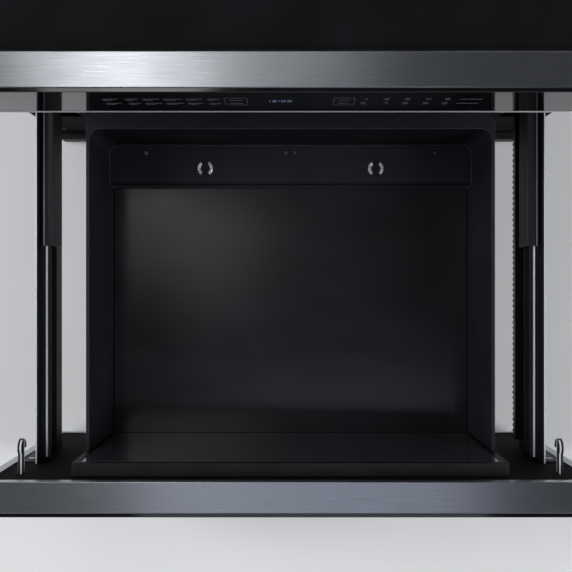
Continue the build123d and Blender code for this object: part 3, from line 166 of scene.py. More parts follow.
def screened_glass():
    """The same black glass, with the web of the perforated screen showing within the door's window."""
    material = finish("window_glass", *BLACK_GLASS, IOR=GLASS_IOR)
    tree = material.node_tree
    place = add(tree, "ShaderNodeTexCoord").outputs["Object"]
    spread = add(tree, "ShaderNodeMapping", {"Vector": place}, in_Scale=[1 / mm(HOLE_PITCH)] * 3)
    holes = add(
        tree, "ShaderNodeTexVoronoi", {"Vector": spread.outputs["Vector"]}, in_Scale=1.0, in_Randomness=0.0
    )
    web = add(
        tree, "ShaderNodeMapRange", {"Value": holes.outputs["Distance"]},
        in_From_Min=HOLE_EDGE[0], in_From_Max=HOLE_EDGE[1],
    ).outputs["Result"]
    axes = add(tree, "ShaderNodeSeparateXYZ", {"Vector": place}).outputs
    low, high = limits("door_screen")
    for name, start, end in (("X", low[0], high[0]), ("Z", low[2], high[2])):
        inside = add(
            tree, "ShaderNodeMath", {0: axes[name]}, operation="COMPARE",
            in_1=mm((start + end) / 2), in_2=mm((end - start) / 2 - WINDOW_MARGIN),
        ).outputs[0]
        web = add(tree, "ShaderNodeMath", {0: web, 1: inside}, operation="MULTIPLY").outputs[0]
    base = tree.nodes[SHADER].inputs["Base Color"]
    screened = add(tree, "ShaderNodeMix", {0: web, 6: base.links[0].from_socket}, data_type="RGBA")
    screened.inputs[7].default_value = linear(WEB_COLOUR)
    tree.links.new(screened.outputs[2], base)
    return material


# The door's outer glass. The screen's holes are 1.3 mm apart; drawn 2.6 mm apart so that the render
# shows them.
WINDOW = screened_glass()
# The door's inner pane: the screen's grey shows through it evenly
PANE = finish("inner_pane", ("#34363B", "#3B3D42"), (0.08, 0.14), 14, 40, IOR=GLASS_IOR)
# Black powder coat on sheet: matt, with a fine orange peel
POWDER = finish(
    "powder_coat_black", ("#0F1012", "#151618"), (0.7, 0.8), 0.9, 60, 0.02, Specular_IOR_Level=0.04
)
# Baked black paint of the case: deeper and smoother than the powder coat
CASE_PAINT = finish(
    "case_paint_black", ("#0B0C0D", "#101113"), (0.5, 0.6), 1.2, 60, 0.02, Specular_IOR_Level=0.05
)
# Hot-dip zinc on folded sheet: soft grey with spangle crystals about 8 mm across
ZINC = finish(
    "galvanised_sheet", ("#A3A6AA", "#AEB1B5"), (0.36, 0.48), 6, 7, drawn=CRYSTAL, Metallic=0.85
)
# Porcelain enamel: glossy dark grey with pale flecks and a slight orange peel
ENAMEL = finish(
    "cavity_enamel", ("#26282C", "#6A6D72"), (0.18, 0.26), 3, 1.4, 0.02, between=(0.72, 0.78),
    Coat_Weight=0.4,
)
# Moulded tray in charcoal satin, with a fine spark-eroded texture
TRAY = finish(
    "charcoal_moulding", ("#15161A", "#1A1B1F"), (0.48, 0.6), 0.8, 90, 0.012, Specular_IOR_Level=0.2
)
# Painted highlight on the tray's rim and its other rounded edges: paler, and a little smoother
RIM_HIGHLIGHT = finish("tray_rim_painted_highlight", ("#26282B", "#303235"), (0.34, 0.44), 2, 30, Specular_IOR_Level=0.3)
# Dark glass-ceramic plate: satin gloss with broad, faint wiping marks
CERAMIC = finish(
    "glass_ceramic", ("#101113", "#151619"), (0.19, 0.24), (60, 30, 30), (120, 40, 40), IOR=1.54
)
# Black zinc on rolled steel, with draw lines along Y
RAIL = finish(
    "black_zinc_rail", ("#17181B", "#1F2023"), (0.44, 0.56), (0.7, 120, 0.7), (2, 150, 2), 0.001,
    Metallic=0.3, Specular_IOR_Level=0.15,
)
# Painted highlight on the lips of the side plates and inner slides: pale satin, so that they show bright
# from every side
LIP_HIGHLIGHT = finish(
    "lip_painted_highlight", ("#C9CDD3", "#D6D9DD"), (0.3, 0.38), (6, 120, 6), (2, 90, 2), Metallic=0.55
)
# Painted highlight along the top of the middle slides: a duller grey
TRACK_HIGHLIGHT = finish(
    "track_painted_highlight", ("#6A6E74", "#787C82"), (0.34, 0.42), (6, 120, 6), (2, 90, 2), Metallic=0.5
)
# Grey steel of the shelf screws' heads, and painted highlight on the rounded edges of the outer and middle
# slides
SCREW_STEEL_AND_EDGE_HIGHLIGHT = finish(
    "screw_steel_and_edge_highlight", ("#5C5F64", "#6B6E73"), (0.3, 0.4), (4, 90, 4), (4, 60, 4), Metallic=1.0
)
# Painted highlight along the edges and upper faces of the black hooks
HOOK_HIGHLIGHT = finish("hook_painted_highlight", ("#BFC3C8", "#CFD2D6"), (0.3, 0.4), 4, 6, Metallic=0.4)
# Ground edge of the glass: grey and matt beside the gloss
GLASS_EDGE = finish("ground_glass_edge", ("#1C1F22", "#272A2E"), (0.34, 0.46), 1.5, 20)
# Painted shade in the cross recess of a screw: near black and dull
RECESS_SHADE = finish("screw_recess_painted_shade", ("#0C0C0D", "#141415"), (0.55, 0.65), 1, 3)
# Hardened bearing steel: bright and even
BEARING = finish("bearing_steel", ("#AEB1B6", "#BDC0C5"), (0.14, 0.24), 3, 12, Metallic=1.0)
# Chrome plate, satin, with the haze of handling
CHROME = finish("chrome_plate", ("#CDD0D4", "#DADCDF"), (0.16, 0.26), 6, 14, Metallic=0.75)
# Pressed and turned small steel parts
TURNED = finish("turned_steel", ("#A9ACB0", "#BBBDC1"), (0.22, 0.36), 1.2, 3, Metallic=1.0)
# Black glass-filled nylon: dull, finely textured
BLACK = finish(
    "moulded_black", ("#0C0D0E", "#131416"), (0.5, 0.62), 0.8, 45, 0.015, Specular_IOR_Level=0.3
)
# Grey glass-filled polypropylene
GREY = finish("moulded_grey", ("#4A4C50", "#56585C"), (0.4, 0.52), 0.8, 45, 0.02)
# Natural acetal: waxy off-white
ACETAL = finish("natural_acetal", ("#C9C7BF", "#D9D7CF"), (0.3, 0.42), 1.6, 30, 0.01)
# Black acetal of the rack, waxy and dark
DARK_ACETAL = finish("black_acetal", ("#0E0F10", "#17181A"), (0.36, 0.48), 1.6, 30, 0.01)
# Glass-epoxy board under green solder resist, with copper areas that show lighter
BOARD = finish(
    "circuit_board", ("#1C5E39", "#10391F"), (0.28, 0.36), 3, 6, drawn=CELLS, between=(0.5, 0.56)
)
# Stack of varnished steel laminations, 0.5 mm each; drawn as bands of 1.5 mm so that they show
CORE = finish(
    "laminated_core", ("#27282B", "#55565A"), (0.44, 0.56), 2, 9.4, drawn=LAYERS, Metallic=0.7
)
# Pressed mica: pale buff with glinting scales
MICA = finish("mica_sheet", ("#A99E86", "#CCC3AF"), (0.3, 0.55), 3, 3, drawn=CRYSTAL)
# Mill-finish aluminium pressings with rolling lines along X
ALUMINIUM = finish(
    "mill_aluminium", ("#B6B9BC", "#C9CCCF"), (0.26, 0.4), (40, 1, 1), (60, 2, 2), Metallic=1.0
)
# Black rubber: matt, with a bloom
RUBBER = finish("black_rubber", ("#0E0E0F", "#1B1B1C"), (0.7, 0.8), 2, 5, 0.03)
# Grey ceramic print on glass, slightly worn
LEGEND = finish("legend_print", ("#4C4F54", "#606368"), (0.45, 0.55), 1, 1.5)
# Lit segments behind smoked glass: cool white, dim
SEGMENTS = finish(
    "display_segments", ("#5E6E86", "#6C7D96"), (0.45, 0.55), 1, 2,
    Emission_Color=linear("#9FBCE8"), Emission_Strength=0.12,
)

# The floor's glow: it starts and is full at these distances, in metres, and this is its strength
GLOW_FROM, GLOW_FULL = 1.4, 5.0
GLOW = 0.85


def studio_paper():
    """
    Pale matt paper. Far out, where the lamps don't reach, it glows for the camera and in reflections
    only, so that it stays pale there and lights nothing.
    """
    material = finish(
        "pale_floor", ("#C8C9CB", "#CACBCD"), (0.78, 0.84), 3, 300, Emission_Color=linear("#C9CACC")
    )
    tree = material.node_tree
    place = add(tree, "ShaderNodeTexCoord").outputs["Object"]
    distance = add(tree, "ShaderNodeVectorMath", {"Vector": place}, operation="LENGTH")
    far = add(
        tree, "ShaderNodeMapRange", {"Value": distance.outputs["Value"]}, interpolation_type="SMOOTHSTEP",
        in_From_Min=GLOW_FROM, in_From_Max=GLOW_FULL, in_To_Max=GLOW,
    ).outputs["Result"]
    ray = add(tree, "ShaderNodeLightPath").outputs
    shown = ray["Is Camera Ray"]
    for kind in ("Is Glossy Ray", "Is Transmission Ray"):
        shown = add(tree, "ShaderNodeMath", {0: shown, 1: ray[kind]}, operation="MAXIMUM").outputs[0]
    glow = add(tree, "ShaderNodeMath", {0: shown, 1: far}, operation="MULTIPLY").outputs[0]
    tree.links.new(glow, tree.nodes[SHADER].inputs["Emission Strength"])
    return material


# Studio floor, outside the part
PAPER = studio_paper()

FINISH = {
    STAINLESS: ("panel_frame", "door_wrap"),
    STRIP: ("control_trim",),
    GLASS: ("control_glass", "display_module"),
    PANE: ("inner_glass",),
    WINDOW: ("front_glass",),
    POWDER: ("front_flange", "side_flanges", "door_frame", "door_screen"),
    CASE_PAINT: ("outer_case",),
    ZINC: ("base_pan", "rear_panel", "cavity_supports", "rail_supports", "waveguide"),
    ENAMEL: ("cavity_box",),
    TRAY: ("tray",),
    CERAMIC: ("floor_plate",),
    RAIL: (
        "rail_outer_right", "rail_outer_left", "rail_mid_right", "rail_mid_left", "rail_inner_right",
        "rail_inner_left", "side_plates", "drive_motor", "fan_motor", "stirrer_motor",
    ),
    BEARING: ("ball_cages_outer", "ball_cages_inner"),
    CHROME: ("rear_caps",),
    TURNED: ("case_screws", "drawer_screws"),
    BLACK: (
        "bottom_vent", "panel_housing", "interlock_switches", "fan_shroud", "cord_gland", "choke_cover",
        "latch_hook_right", "latch_hook_left",
    ),
    GREY: ("interlock_holders", "air_duct", "fan_wheel", "cavity_lamp"),
    DARK_ACETAL: ("drive_rack",),
    ACETAL: ("drive_pinion", "drive_gearbox", "switch_button_right", "switch_button_left"),
    BOARD: ("control_board", "power_board"),
    CORE: ("hv_transformer",),
    MICA: ("stirrer_cover",),
    ALUMINIUM: ("magnetron", "stirrer", "hv_capacitor"),
    RUBBER: ("door_bumpers",),
}
for material, names in FINISH.items():
    for name in names:
        nodes[name].data.materials.clear()
        nodes[name].data.materials.append(material)


# Pieces -------------------------------------------------------------------------------------------
BODIES = frame["record"]["behaviour"]["bodies"]
BODY_OF = {node: body for body, held in BODIES.items() for node in held}
# Faces that meet at more than this have an edge between them in the shading
CREASE_ABOVE = math.radians(20)
# A face is flat where its area is more than this times its perimeter, as on a strip 16 mm wide, so
# that the shading of rounded edges doesn't run across it
FLAT_ABOVE = 8.0


def piece(name, shape, materials, body, stands_for=()):
    """Turn a finished bmesh into a piece that rides on a body."""
    mesh = bpy.data.meshes.new(name)
    narrow = [face.calc_area() < mm(FLAT_ABOVE) * face.calc_perimeter() for face in shape.faces]
    shape.to_mesh(mesh)
    shape.free()
    for material in materials:
        mesh.materials.append(material)
    mesh.set_sharp_from_angle(angle=CREASE_ABOVE)
    for polygon, smooth in zip(mesh.polygons, narrow):
        polygon.use_smooth = smooth
    item = bpy.data.objects.new(name, mesh)
    bpy.context.scene.collection.objects.link(item)
    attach(item, body)
    if stands_for:
        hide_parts(*stands_for)


# Corners closer than this are one, in millimetres
WELD = 0.002


def round_over(shape, edges, width):
    """Round edges over to a width in millimetres and return the new faces."""
    return bmesh.ops.bevel(
        shape, geom=edges, offset=mm(width), offset_type="OFFSET", segments=2,
        profile=0.5, affect="EDGES", material=-1, clamp_overlap=True,
    )["faces"]


def box(shape, x, y, z):
    """Add a box between limits in millimetres and return its vertices."""
    made = bmesh.ops.create_cube(shape, size=1)["verts"]
    size = [mm(limit[1] - limit[0]) for limit in (x, y, z)]
    middle = [mm(limit[0] + limit[1]) / 2 for limit in (x, y, z)]
    bmesh.ops.scale(shape, vec=size, verts=made)
    bmesh.ops.translate(shape, vec=middle, verts=made)
    return made


def facing_from(centre, facing):
    """The move that takes what is drawn about Z at the origin to a centre, facing a way."""
    turn = Vector((0, 0, 1)).rotation_difference(Vector(facing)).to_matrix().to_4x4()
    return Matrix.Translation(at(*centre)) @ turn


def turned(shape, centre, facing, outline, steps):
    """Spin an outline of (radius, height) points, in millimetres, about an axis through a point."""
    points = [shape.verts.new((mm(radius), 0, mm(height))) for radius, height in outline]
    edges = [shape.edges.new(pair) for pair in zip(points, points[1:])]
    before = set(shape.verts) - set(points)
    bmesh.ops.spin(
        shape, geom=points + edges, cent=(0, 0, 0), axis=(0, 0, 1), dvec=(0, 0, 0),
        angle=math.tau, steps=steps, use_merge=True, use_duplicate=False,
    )
    spun = [v for v in shape.verts if v not in before]
    bmesh.ops.remove_doubles(shape, verts=spun, dist=mm(WELD))
    made = [v for v in shape.verts if v not in before]
    bmesh.ops.recalc_face_normals(shape, faces=list({f for v in made for f in v.link_faces}))
    bmesh.ops.transform(shape, matrix=facing_from(centre, facing), verts=made)


# Screws and rivets: how deep a head's foot sits in the sheet, half the length and width of its cross
# as shares of its radius, and how far the cross stands proud
HEAD_FOOT = 0.3
HEAD_STEPS = 20
CROSS_LONG, CROSS_WIDE = 0.62, 0.16
CROSS_PROUD = 0.04


def pan_head(radius, height):
    """Outline of a domed screw or rivet head, closed underneath."""
    return [
        (0.0, -HEAD_FOOT), (radius, -HEAD_FOOT), (radius, 0.25 * height), (0.86 * radius, 0.7 * height),
        (0.5 * radius, 0.95 * height), (0.0, height),
    ]


def heads(name, spots, facing, radius, height, material):
    """Domed heads on the drawer, each with a cross a hair proud in the painted shade of its recess."""
    shape = bmesh.new()
    for spot in spots:
        turned(shape, spot, facing, pan_head(radius, height), HEAD_STEPS)
    domes = len(shape.faces)
    for spot in spots:
        for long, wide in ((CROSS_LONG, CROSS_WIDE), (CROSS_WIDE, CROSS_LONG)):
            reach, half = long * radius, wide * radius
            bar = box(shape, (-reach, reach), (-half, half), (0.5 * height, height + CROSS_PROUD))
            bmesh.ops.transform(shape, matrix=facing_from(spot, facing), verts=bar)
    shape.faces.ensure_lookup_table()
    for face in shape.faces[domes:]:
        face.material_index = 1
    piece(name, shape, [material, RECESS_SHADE], "drawer")


# Painted highlights on the CAD pieces, on faces that look up -------------------------------------
def highlight_place(node, heights, slope, material, across=None):
    """
    A painted highlight, bright on faces that look up: distances from the middle and heights, the
    least slope that a face there may have (1 faces up, 0 is upright), and the finish. Heights are
    given from the node's top, and across from its side nearer the middle; without across it runs
    over the whole width.
    """
    low, high = limits(node)
    reach = [low[0] + distance for distance in across] if across else [0.0, high[0] + 1.0]
    return reach, [high[2] + height for height in heights], slope, material


# Slopes: faces that look up, and faces that look up or sideways
UPWARD, SIDEWAYS = 0.2, -0.5
# Places painted bright as highlights where their faces look up: the lips of the side plates and inner
# slides, the top of the middle slides, and the hooks' top and foot
PLATE_LIP = highlight_place("side_plates", (-2.0, 1.0), UPWARD, LIP_HIGHLIGHT)
INNER_LIP = highlight_place("rail_inner_right", (-1.8, 1.0), UPWARD, LIP_HIGHLIGHT, (3.4, 5.6))
MID_TRACK = highlight_place("rail_mid_right", (-1.4, 1.0), UPWARD, TRACK_HIGHLIGHT, (9.4, 10.6))
HOOK_TOP = highlight_place("latch_hook_right", (-5.0, 1.0), UPWARD, HOOK_HIGHLIGHT, (2.4, 4.2))
HOOK_FOOT = highlight_place("latch_hook_right", (-12.0, -9.2), SIDEWAYS, HOOK_HIGHLIGHT, (2.0, 3.0))
PAINTED_HIGHLIGHTS = {
    "side_plates": (PLATE_LIP,),
    "rail_inner_right": (INNER_LIP,), "rail_inner_left": (INNER_LIP,),
    "rail_mid_right": (MID_TRACK,), "rail_mid_left": (MID_TRACK,),
    "latch_hook_right": (HOOK_TOP, HOOK_FOOT), "latch_hook_left": (HOOK_TOP, HOOK_FOOT),
}


def paint_highlight(shape, reach, heights, slope, index):
    """Cut a shape at the limits of a painted highlight, and give its faces there the material at an index.
    """
    (near, far), (low, high) = reach, heights
    cuts = [(at(x, 0, 0), (1, 0, 0)) for x in (-far, -near, near, far)]
    cuts += [(at(0, 0, z), (0, 0, 1)) for z in (low, high)]
    for point, normal in cuts:
        whole = shape.verts[:] + shape.edges[:] + shape.faces[:]
        bmesh.ops.bisect_plane(shape, geom=whole, plane_co=point, plane_no=normal)
    for face in shape.faces:
        spot = face.calc_center_median()
        inside = mm(near) < abs(spot.x) < mm(far) and mm(low) < spot.z < mm(high)
        if inside and face.normal.z > slope:
            face.material_index = index


# Edges of the CAD pieces --------------------------------------------------------------------------
# Faces that meet at less than this are one, and edges that turn by more than that are rounded over
SAME_PLANE = math.radians(0.5)
ROUND_ABOVE = math.radians(50)
# Faces narrower than this are closed up, in millimetres
SLIVER = 0.01
# How wide the sheared or moulded edges of a node are rounded over, in millimetres
EDGE_WIDTH = {
    "panel_frame": 0.6, "door_wrap": 0.45, "control_glass": 0.5, "front_glass": 0.5, "inner_glass": 0.4,
    "choke_cover": 0.7, "tray": 0.55, "floor_plate": 0.4, "side_plates": 0.3, "latch_hook_right": 0.5,
    "latch_hook_left": 0.5, "side_flanges": 0.3, "outer_case": 0.45, "base_pan": 0.4, "bottom_vent": 0.4,
    "door_frame": 0.35, "rail_supports": 0.4, "rail_outer_right": 0.35, "rail_outer_left": 0.35,
    "rail_mid_right": 0.3, "rail_mid_left": 0.3, "rail_inner_right": 0.3, "rail_inner_left": 0.3,
    "panel_housing": 0.4, "drive_gearbox": 1.0, "drive_motor": 0.6, "drive_rack": 0.2,
    "drive_pinion": 0.2, "interlock_holders": 0.6, "interlock_switches": 0.4, "cord_gland": 0.5,
    "hv_transformer": 0.6, "fan_shroud": 0.5, "fan_wheel": 0.3, "door_bumpers": 0.3, "stirrer": 0.3,
    "stirrer_cover": 0.4, "air_duct": 0.5,
}
# Edges that differ from the faces beside them: ground glass, and paler edges that are painted highlights
EDGE_FINISH_AND_HIGHLIGHT = {
    "control_glass": GLASS_EDGE, "front_glass": GLASS_EDGE, "inner_glass": GLASS_EDGE, "tray": RIM_HIGHLIGHT,
    "latch_hook_right": HOOK_HIGHLIGHT, "latch_hook_left": HOOK_HIGHLIGHT,
    "rail_outer_right": SCREW_STEEL_AND_EDGE_HIGHLIGHT, "rail_outer_left": SCREW_STEEL_AND_EDGE_HIGHLIGHT,
    "rail_mid_right": SCREW_STEEL_AND_EDGE_HIGHLIGHT, "rail_mid_left": SCREW_STEEL_AND_EDGE_HIGHLIGHT,
}


def finished(node):
    """Stand for a node by its own shape, with its edges rounded over, some in their own finish, and its
    painted highlights on faces that look up.
    """
    shape = bmesh.new()
    shape.from_mesh(nodes[node].data)
    bmesh.ops.remove_doubles(shape, verts=shape.verts, dist=mm(WELD))
    bmesh.ops.dissolve_limit(shape, angle_limit=SAME_PLANE, verts=shape.verts, edges=shape.edges)
    sharp = [e for e in shape.edges if e.is_manifold and e.calc_face_angle(0) > ROUND_ABOVE]
    rounded = round_over(shape, sharp, EDGE_WIDTH[node])
    materials = [nodes[node].data.materials[0]]
    if node in EDGE_FINISH_AND_HIGHLIGHT:
        materials.append(EDGE_FINISH_AND_HIGHLIGHT[node])
        for face in rounded:
            face.material_index = 1
    bmesh.ops.dissolve_degenerate(shape, dist=mm(SLIVER), edges=shape.edges)
    for reach, heights, slope, material in PAINTED_HIGHLIGHTS.get(node, ()):
        materials.append(material)
        paint_highlight(shape, reach, heights, slope, len(materials) - 1)
    piece(f"{node}_finished", shape, materials, BODY_OF[node], [node])


for node in EDGE_WIDTH:
    finished(node)


# Control panel ------------------------------------------------------------------------------------
# The front of the glass and its foot, how thick print is and how deep it starts, and the two rows
GLASS_FACE, GLASS_FOOT = limits("control_glass")[0][1:]
PRINT_T, PRINT_IN = 0.12, 0.05
ROW_HIGH, ROW_LOW = GLASS_FOOT + 52.0, GLASS_FOOT + 35.0
# Keys across the panel, as the photograph has them. Each plain key has a line, and a shorter one under
KEY_GROUPS = ((-168, -154), (-147, -136), (-132, -117), (-113, -97), (-93, -79), (-74, -63))
KEY_BOXES = ((-59, -39), (39, 57.5))
KEY_BARS = (151, 171)
LINE_H = 1.4
SHORT_LINE, SHORT_UNDER = 0.6, 4.5
# A framed key: the frame's line, its reach under the low row and over the high one, and the lines in it
FRAME_LINE = 0.7
FRAME_UNDER, FRAME_OVER = 6.0, 5.0
FRAMED_MARGIN, FRAMED_UNDER = 4.0, 5.0
# The number pad: its columns, a number's size and line, and how far it hangs under its row's level
PAD_COLUMNS = (66, 86, 104, 122.5, 140)
NUMBER_W, NUMBER_H, NUMBER_LINE = 4.8, 8.0, 1.5
NUMBER_UNDER = 3.0
# The clock: its figures with their places, their size, line and thickness, and the colon's dots
CLOCK = (("1", -22.0), ("2", -16.4), ("0", -8.4), ("0", -2.8))
CLOCK_Z = GLASS_FOOT + 41.0
CLOCK_W, CLOCK_H, CLOCK_LINE, CLOCK_T = 4.0, 7.0, 0.9, 0.1
COLON_X = (-10.7, -9.8)
COLON_Z = (CLOCK_Z + 2.0, CLOCK_Z + 5.0)
# Seven-segment figures: which of the bars a to g are lit, and the gap between bars by their line
LIT = {
    "0": "abcdef", "1": "bc", "2": "abged", "3": "abgcd", "4": "fgbc", "5": "afgcd",
    "6": "afgedc", "7": "abc", "8": "abcdefg", "9": "abcdfg",
}
BAR_GAP = 0.35
# The trim strip's ledge in front of the glass, and its rounded edges
TRIM_LEDGE, TRIM_EDGE = 0.6, 0.3


def printed(shape, x, z, thickness=PRINT_T):
    """A patch of print on the control glass."""
    box(shape, x, (GLASS_FACE - thickness, GLASS_FACE + PRINT_IN), z)


def printed_frame(shape, x, z):
    """A thin rectangle round a key."""
    for level in z:
        printed(shape, x, (level - FRAME_LINE / 2, level + FRAME_LINE / 2))
    for side in x:
        printed(shape, (side - FRAME_LINE / 2, side + FRAME_LINE / 2), z)


def digit(shape, figure, x, z, width, height, line, thickness=PRINT_T):
    """One seven-segment figure with its lower left corner at x, z."""
    low, middle, high = z, z + height / 2, z + height
    gap = line * BAR_GAP
    bars = {
        "a": ((x + gap, x + width - gap), (high - line, high)),
        "g": ((x + gap, x + width - gap), (middle - line / 2, middle + line / 2)),
        "d": ((x + gap, x + width - gap), (low, low + line)),
        "f": ((x, x + line), (middle + gap, high - gap)),
        "b": ((x + width - line, x + width), (middle + gap, high - gap)),
        "e": ((x, x + line), (low + gap, middle - gap)),
        "c": ((x + width - line, x + width), (low + gap, middle - gap)),
    }
    for bar in LIT[figure]:
        printed(shape, *bars[bar], thickness)


def control_legends():
    """Printed keys: ruled dashes, two framed keys, a number pad in two rows, and two end bars."""
    shape = bmesh.new()
    for low, high in KEY_GROUPS:
        for level in (ROW_HIGH, ROW_LOW):
            under = level - SHORT_UNDER
            printed(shape, (low, high), (level, level + LINE_H))
            printed(shape, (low, low + SHORT_LINE * (high - low)), (under, under + LINE_H))
    for low, high in KEY_BOXES:
        printed_frame(shape, (low, high), (ROW_LOW - FRAME_UNDER, ROW_HIGH + FRAME_OVER))
        for level in (ROW_LOW, ROW_HIGH - FRAMED_UNDER):
            printed(shape, (low + FRAMED_MARGIN, high - FRAMED_MARGIN), (level, level + LINE_H))
    for column, middle in enumerate(PAD_COLUMNS):
        for row, level in enumerate((ROW_HIGH, ROW_LOW)):
            figure = str((column + 1 + len(PAD_COLUMNS) * row) % 10)
            x, z = middle - NUMBER_W / 2, level - NUMBER_UNDER
            digit(shape, figure, x, z, NUMBER_W, NUMBER_H, NUMBER_LINE)
    for level in (ROW_HIGH, ROW_LOW):
        printed(shape, KEY_BARS, (level, level + LINE_H))
    piece("control_legends", shape, [LEGEND], "chassis")


def clock_figures():
    """Lit clock figures behind the control glass."""
    shape = bmesh.new()
    for figure, x in CLOCK:
        digit(shape, figure, x, CLOCK_Z, CLOCK_W, CLOCK_H, CLOCK_LINE, CLOCK_T)
    for level in COLON_Z:
        printed(shape, COLON_X, (level, level + CLOCK_LINE), CLOCK_T)
    piece("clock_figures", shape, [SEGMENTS], "chassis")


def trim_strip():
    """Bright strip along the foot of the control glass, with a narrow ledge."""
    low, high = limits("control_trim")
    shape = bmesh.new()
    box(shape, (low[0], high[0]), (GLASS_FACE - TRIM_LEDGE, high[1]), (low[2], high[2]))
    round_over(shape, shape.edges[:], TRIM_EDGE)
    piece("trim_strip", shape, [STRIP], "chassis", ["control_trim"])


control_legends()
clock_figures()
trim_strip()


# Tray ---------------------------------------------------------------------------------------------
CAP_LOW, CAP_HIGH = limits("rear_caps")
CAP_R = (CAP_HIGH[1] - CAP_LOW[1]) / 2
CAP_T = CAP_HIGH[2] - CAP_LOW[2]
CAP_X = CAP_HIGH[0] - CAP_R
CAP_Y = (CAP_LOW[1] + CAP_HIGH[1]) / 2
SHELF_TOP = CAP_LOW[2]
# A cap's crescents: their inner radius, the height at which their round top starts, and the angle
# that each takes
CAP_HOLE_R = 5.3
CAP_SHOULDER = 0.9
CRESCENT_ARC = math.radians(112)
CRESCENT_STEPS, ROUND_STEPS = 24, 14
# A cap's plug as (radius, height) points: its foot, its skirt, its raised ring and the dish within it
PLUG_R = CAP_R - 0.3
PLUG = (
    (0.0, 0.2), (PLUG_R, 0.2), (PLUG_R, CAP_SHOULDER), (CAP_HOLE_R, 1.2), (4.6, 1.7), (1.2, 1.5),
    (0.0, 1.2),
)
PLUG_STEPS = 32
# Small screws along the wall behind the shelf, and the rivets of the side plates: where they are, and
# a head's radius and height
SHELF_WALL_Y = limits("tray")[1][1] - 26.5
SHELF_SCREW_X = (-166.0, -1.5, 9.5, 176.0)
SHELF_SCREW_Z = SHELF_TOP + 12.0
SHELF_SCREW = (1.7, 0.8)
PLATE_T = 1.5
PLATE_OUT = limits("rail_inner_right")[1][0] + PLATE_T
PLATE_TOP = limits("side_plates")[1][2]
RIVET_Y = (-364.6, -494.0, -624.3)
RIVET_Z = (PLATE_TOP - 78.0, PLATE_TOP - 5.0)
RIVET = (3.2, 1.8)


def shelf_highlight_crescents():
    """On each ring cap two bright chrome crescents with a rounded section, left and right of its plug. The
    ring is chrome only where its highlights fall, a painted highlight; its top and bottom, which mirror
    dark, are left to the black plug.
    """
    shape = bmesh.new()
    middle, half = (CAP_R + CAP_HOLE_R) / 2, (CAP_R - CAP_HOLE_R) / 2
    section = [(CAP_HOLE_R, 0.0), (CAP_R, 0.0)]
    for step in range(ROUND_STEPS + 1):
        angle = math.pi * step / ROUND_STEPS
        rise = (CAP_T - CAP_SHOULDER) * math.sin(angle)
        section.append((middle + half * math.cos(angle), CAP_SHOULDER + rise))
    for x in (-CAP_X, CAP_X):
        for start in (0.0, math.pi):
            face = shape.faces.new([shape.verts.new((mm(r), 0, mm(z))) for r, z in section])
            before = set(shape.verts) - set(face.verts)
            turn = Matrix.Rotation(start - CRESCENT_ARC / 2, 3, "Z")
            bmesh.ops.rotate(shape, verts=face.verts, cent=(0, 0, 0), matrix=turn)
            bmesh.ops.spin(
                shape, geom=[face], cent=(0, 0, 0), axis=(0, 0, 1), dvec=(0, 0, 0),
                angle=CRESCENT_ARC, steps=CRESCENT_STEPS, use_merge=False, use_duplicate=False,
            )
            made = [v for v in shape.verts if v not in before]
            bmesh.ops.translate(shape, vec=at(x, CAP_Y, SHELF_TOP), verts=made)
    bmesh.ops.holes_fill(shape, edges=[e for e in shape.edges if e.is_boundary], sides=0)
    bmesh.ops.recalc_face_normals(shape, faces=shape.faces)
    piece("shelf_highlight_crescents", shape, [CHROME], "drawer", ["rear_caps"])


def shelf_plugs():
    """The dark turned plug in the middle of each ring cap. Its skirt shows between the crescents as painted
    dark reflection.
    """
    shape = bmesh.new()
    for x in (-CAP_X, CAP_X):
        turned(shape, (x, CAP_Y, SHELF_TOP), (0, 0, 1), PLUG, PLUG_STEPS)
    piece("shelf_plugs", shape, [BLACK], "drawer")


shelf_highlight_crescents()
shelf_plugs()
spots = [(x, SHELF_WALL_Y, SHELF_SCREW_Z) for x in SHELF_SCREW_X]
heads("shelf_screws", spots, (0, -1, 0), *SHELF_SCREW, SCREW_STEEL_AND_EDGE_HIGHLIGHT)
for side, name in ((1, "right"), (-1, "left")):
    spots = [(side * PLATE_OUT, y, z) for y in RIVET_Y for z in RIVET_Z]
    heads(f"side_rivets_{name}", spots, (side, 0, 0), *RIVET, CHROME)


# Case ---------------------------------------------------------------------------------------------
CASE_SIDE, _, CASE_TOP = limits("outer_case")[1]
CASE_BACK = limits("rear_panel")[1][1]
# A bead: its width, the width of its sloping sides, its height, and how deep its foot is sunk
BEAD_W, BEAD_SLOPE = 14.0, 2.6
BEAD_RISE, BEAD_SUNK = 1.4, 0.2
BEAD_STEPS = 24
# Beads on the top, the sides and the back: their places, and their lengths
TOP_BEADS_X, TOP_BEADS_Y, TOP_BEADS_L = (-180.0, -60.0, 60.0, 180.0), 20.0, 420.0
SIDE_BEADS_Y, SIDE_BEADS_Z, SIDE_BEADS_L = 0.0, (100.0, 190.0), 400.0
BACK_BEADS_X, BACK_BEADS_Z, BACK_BEADS_L = (-225.0, 225.0, -150.0, 150.0), 240.0, 200.0


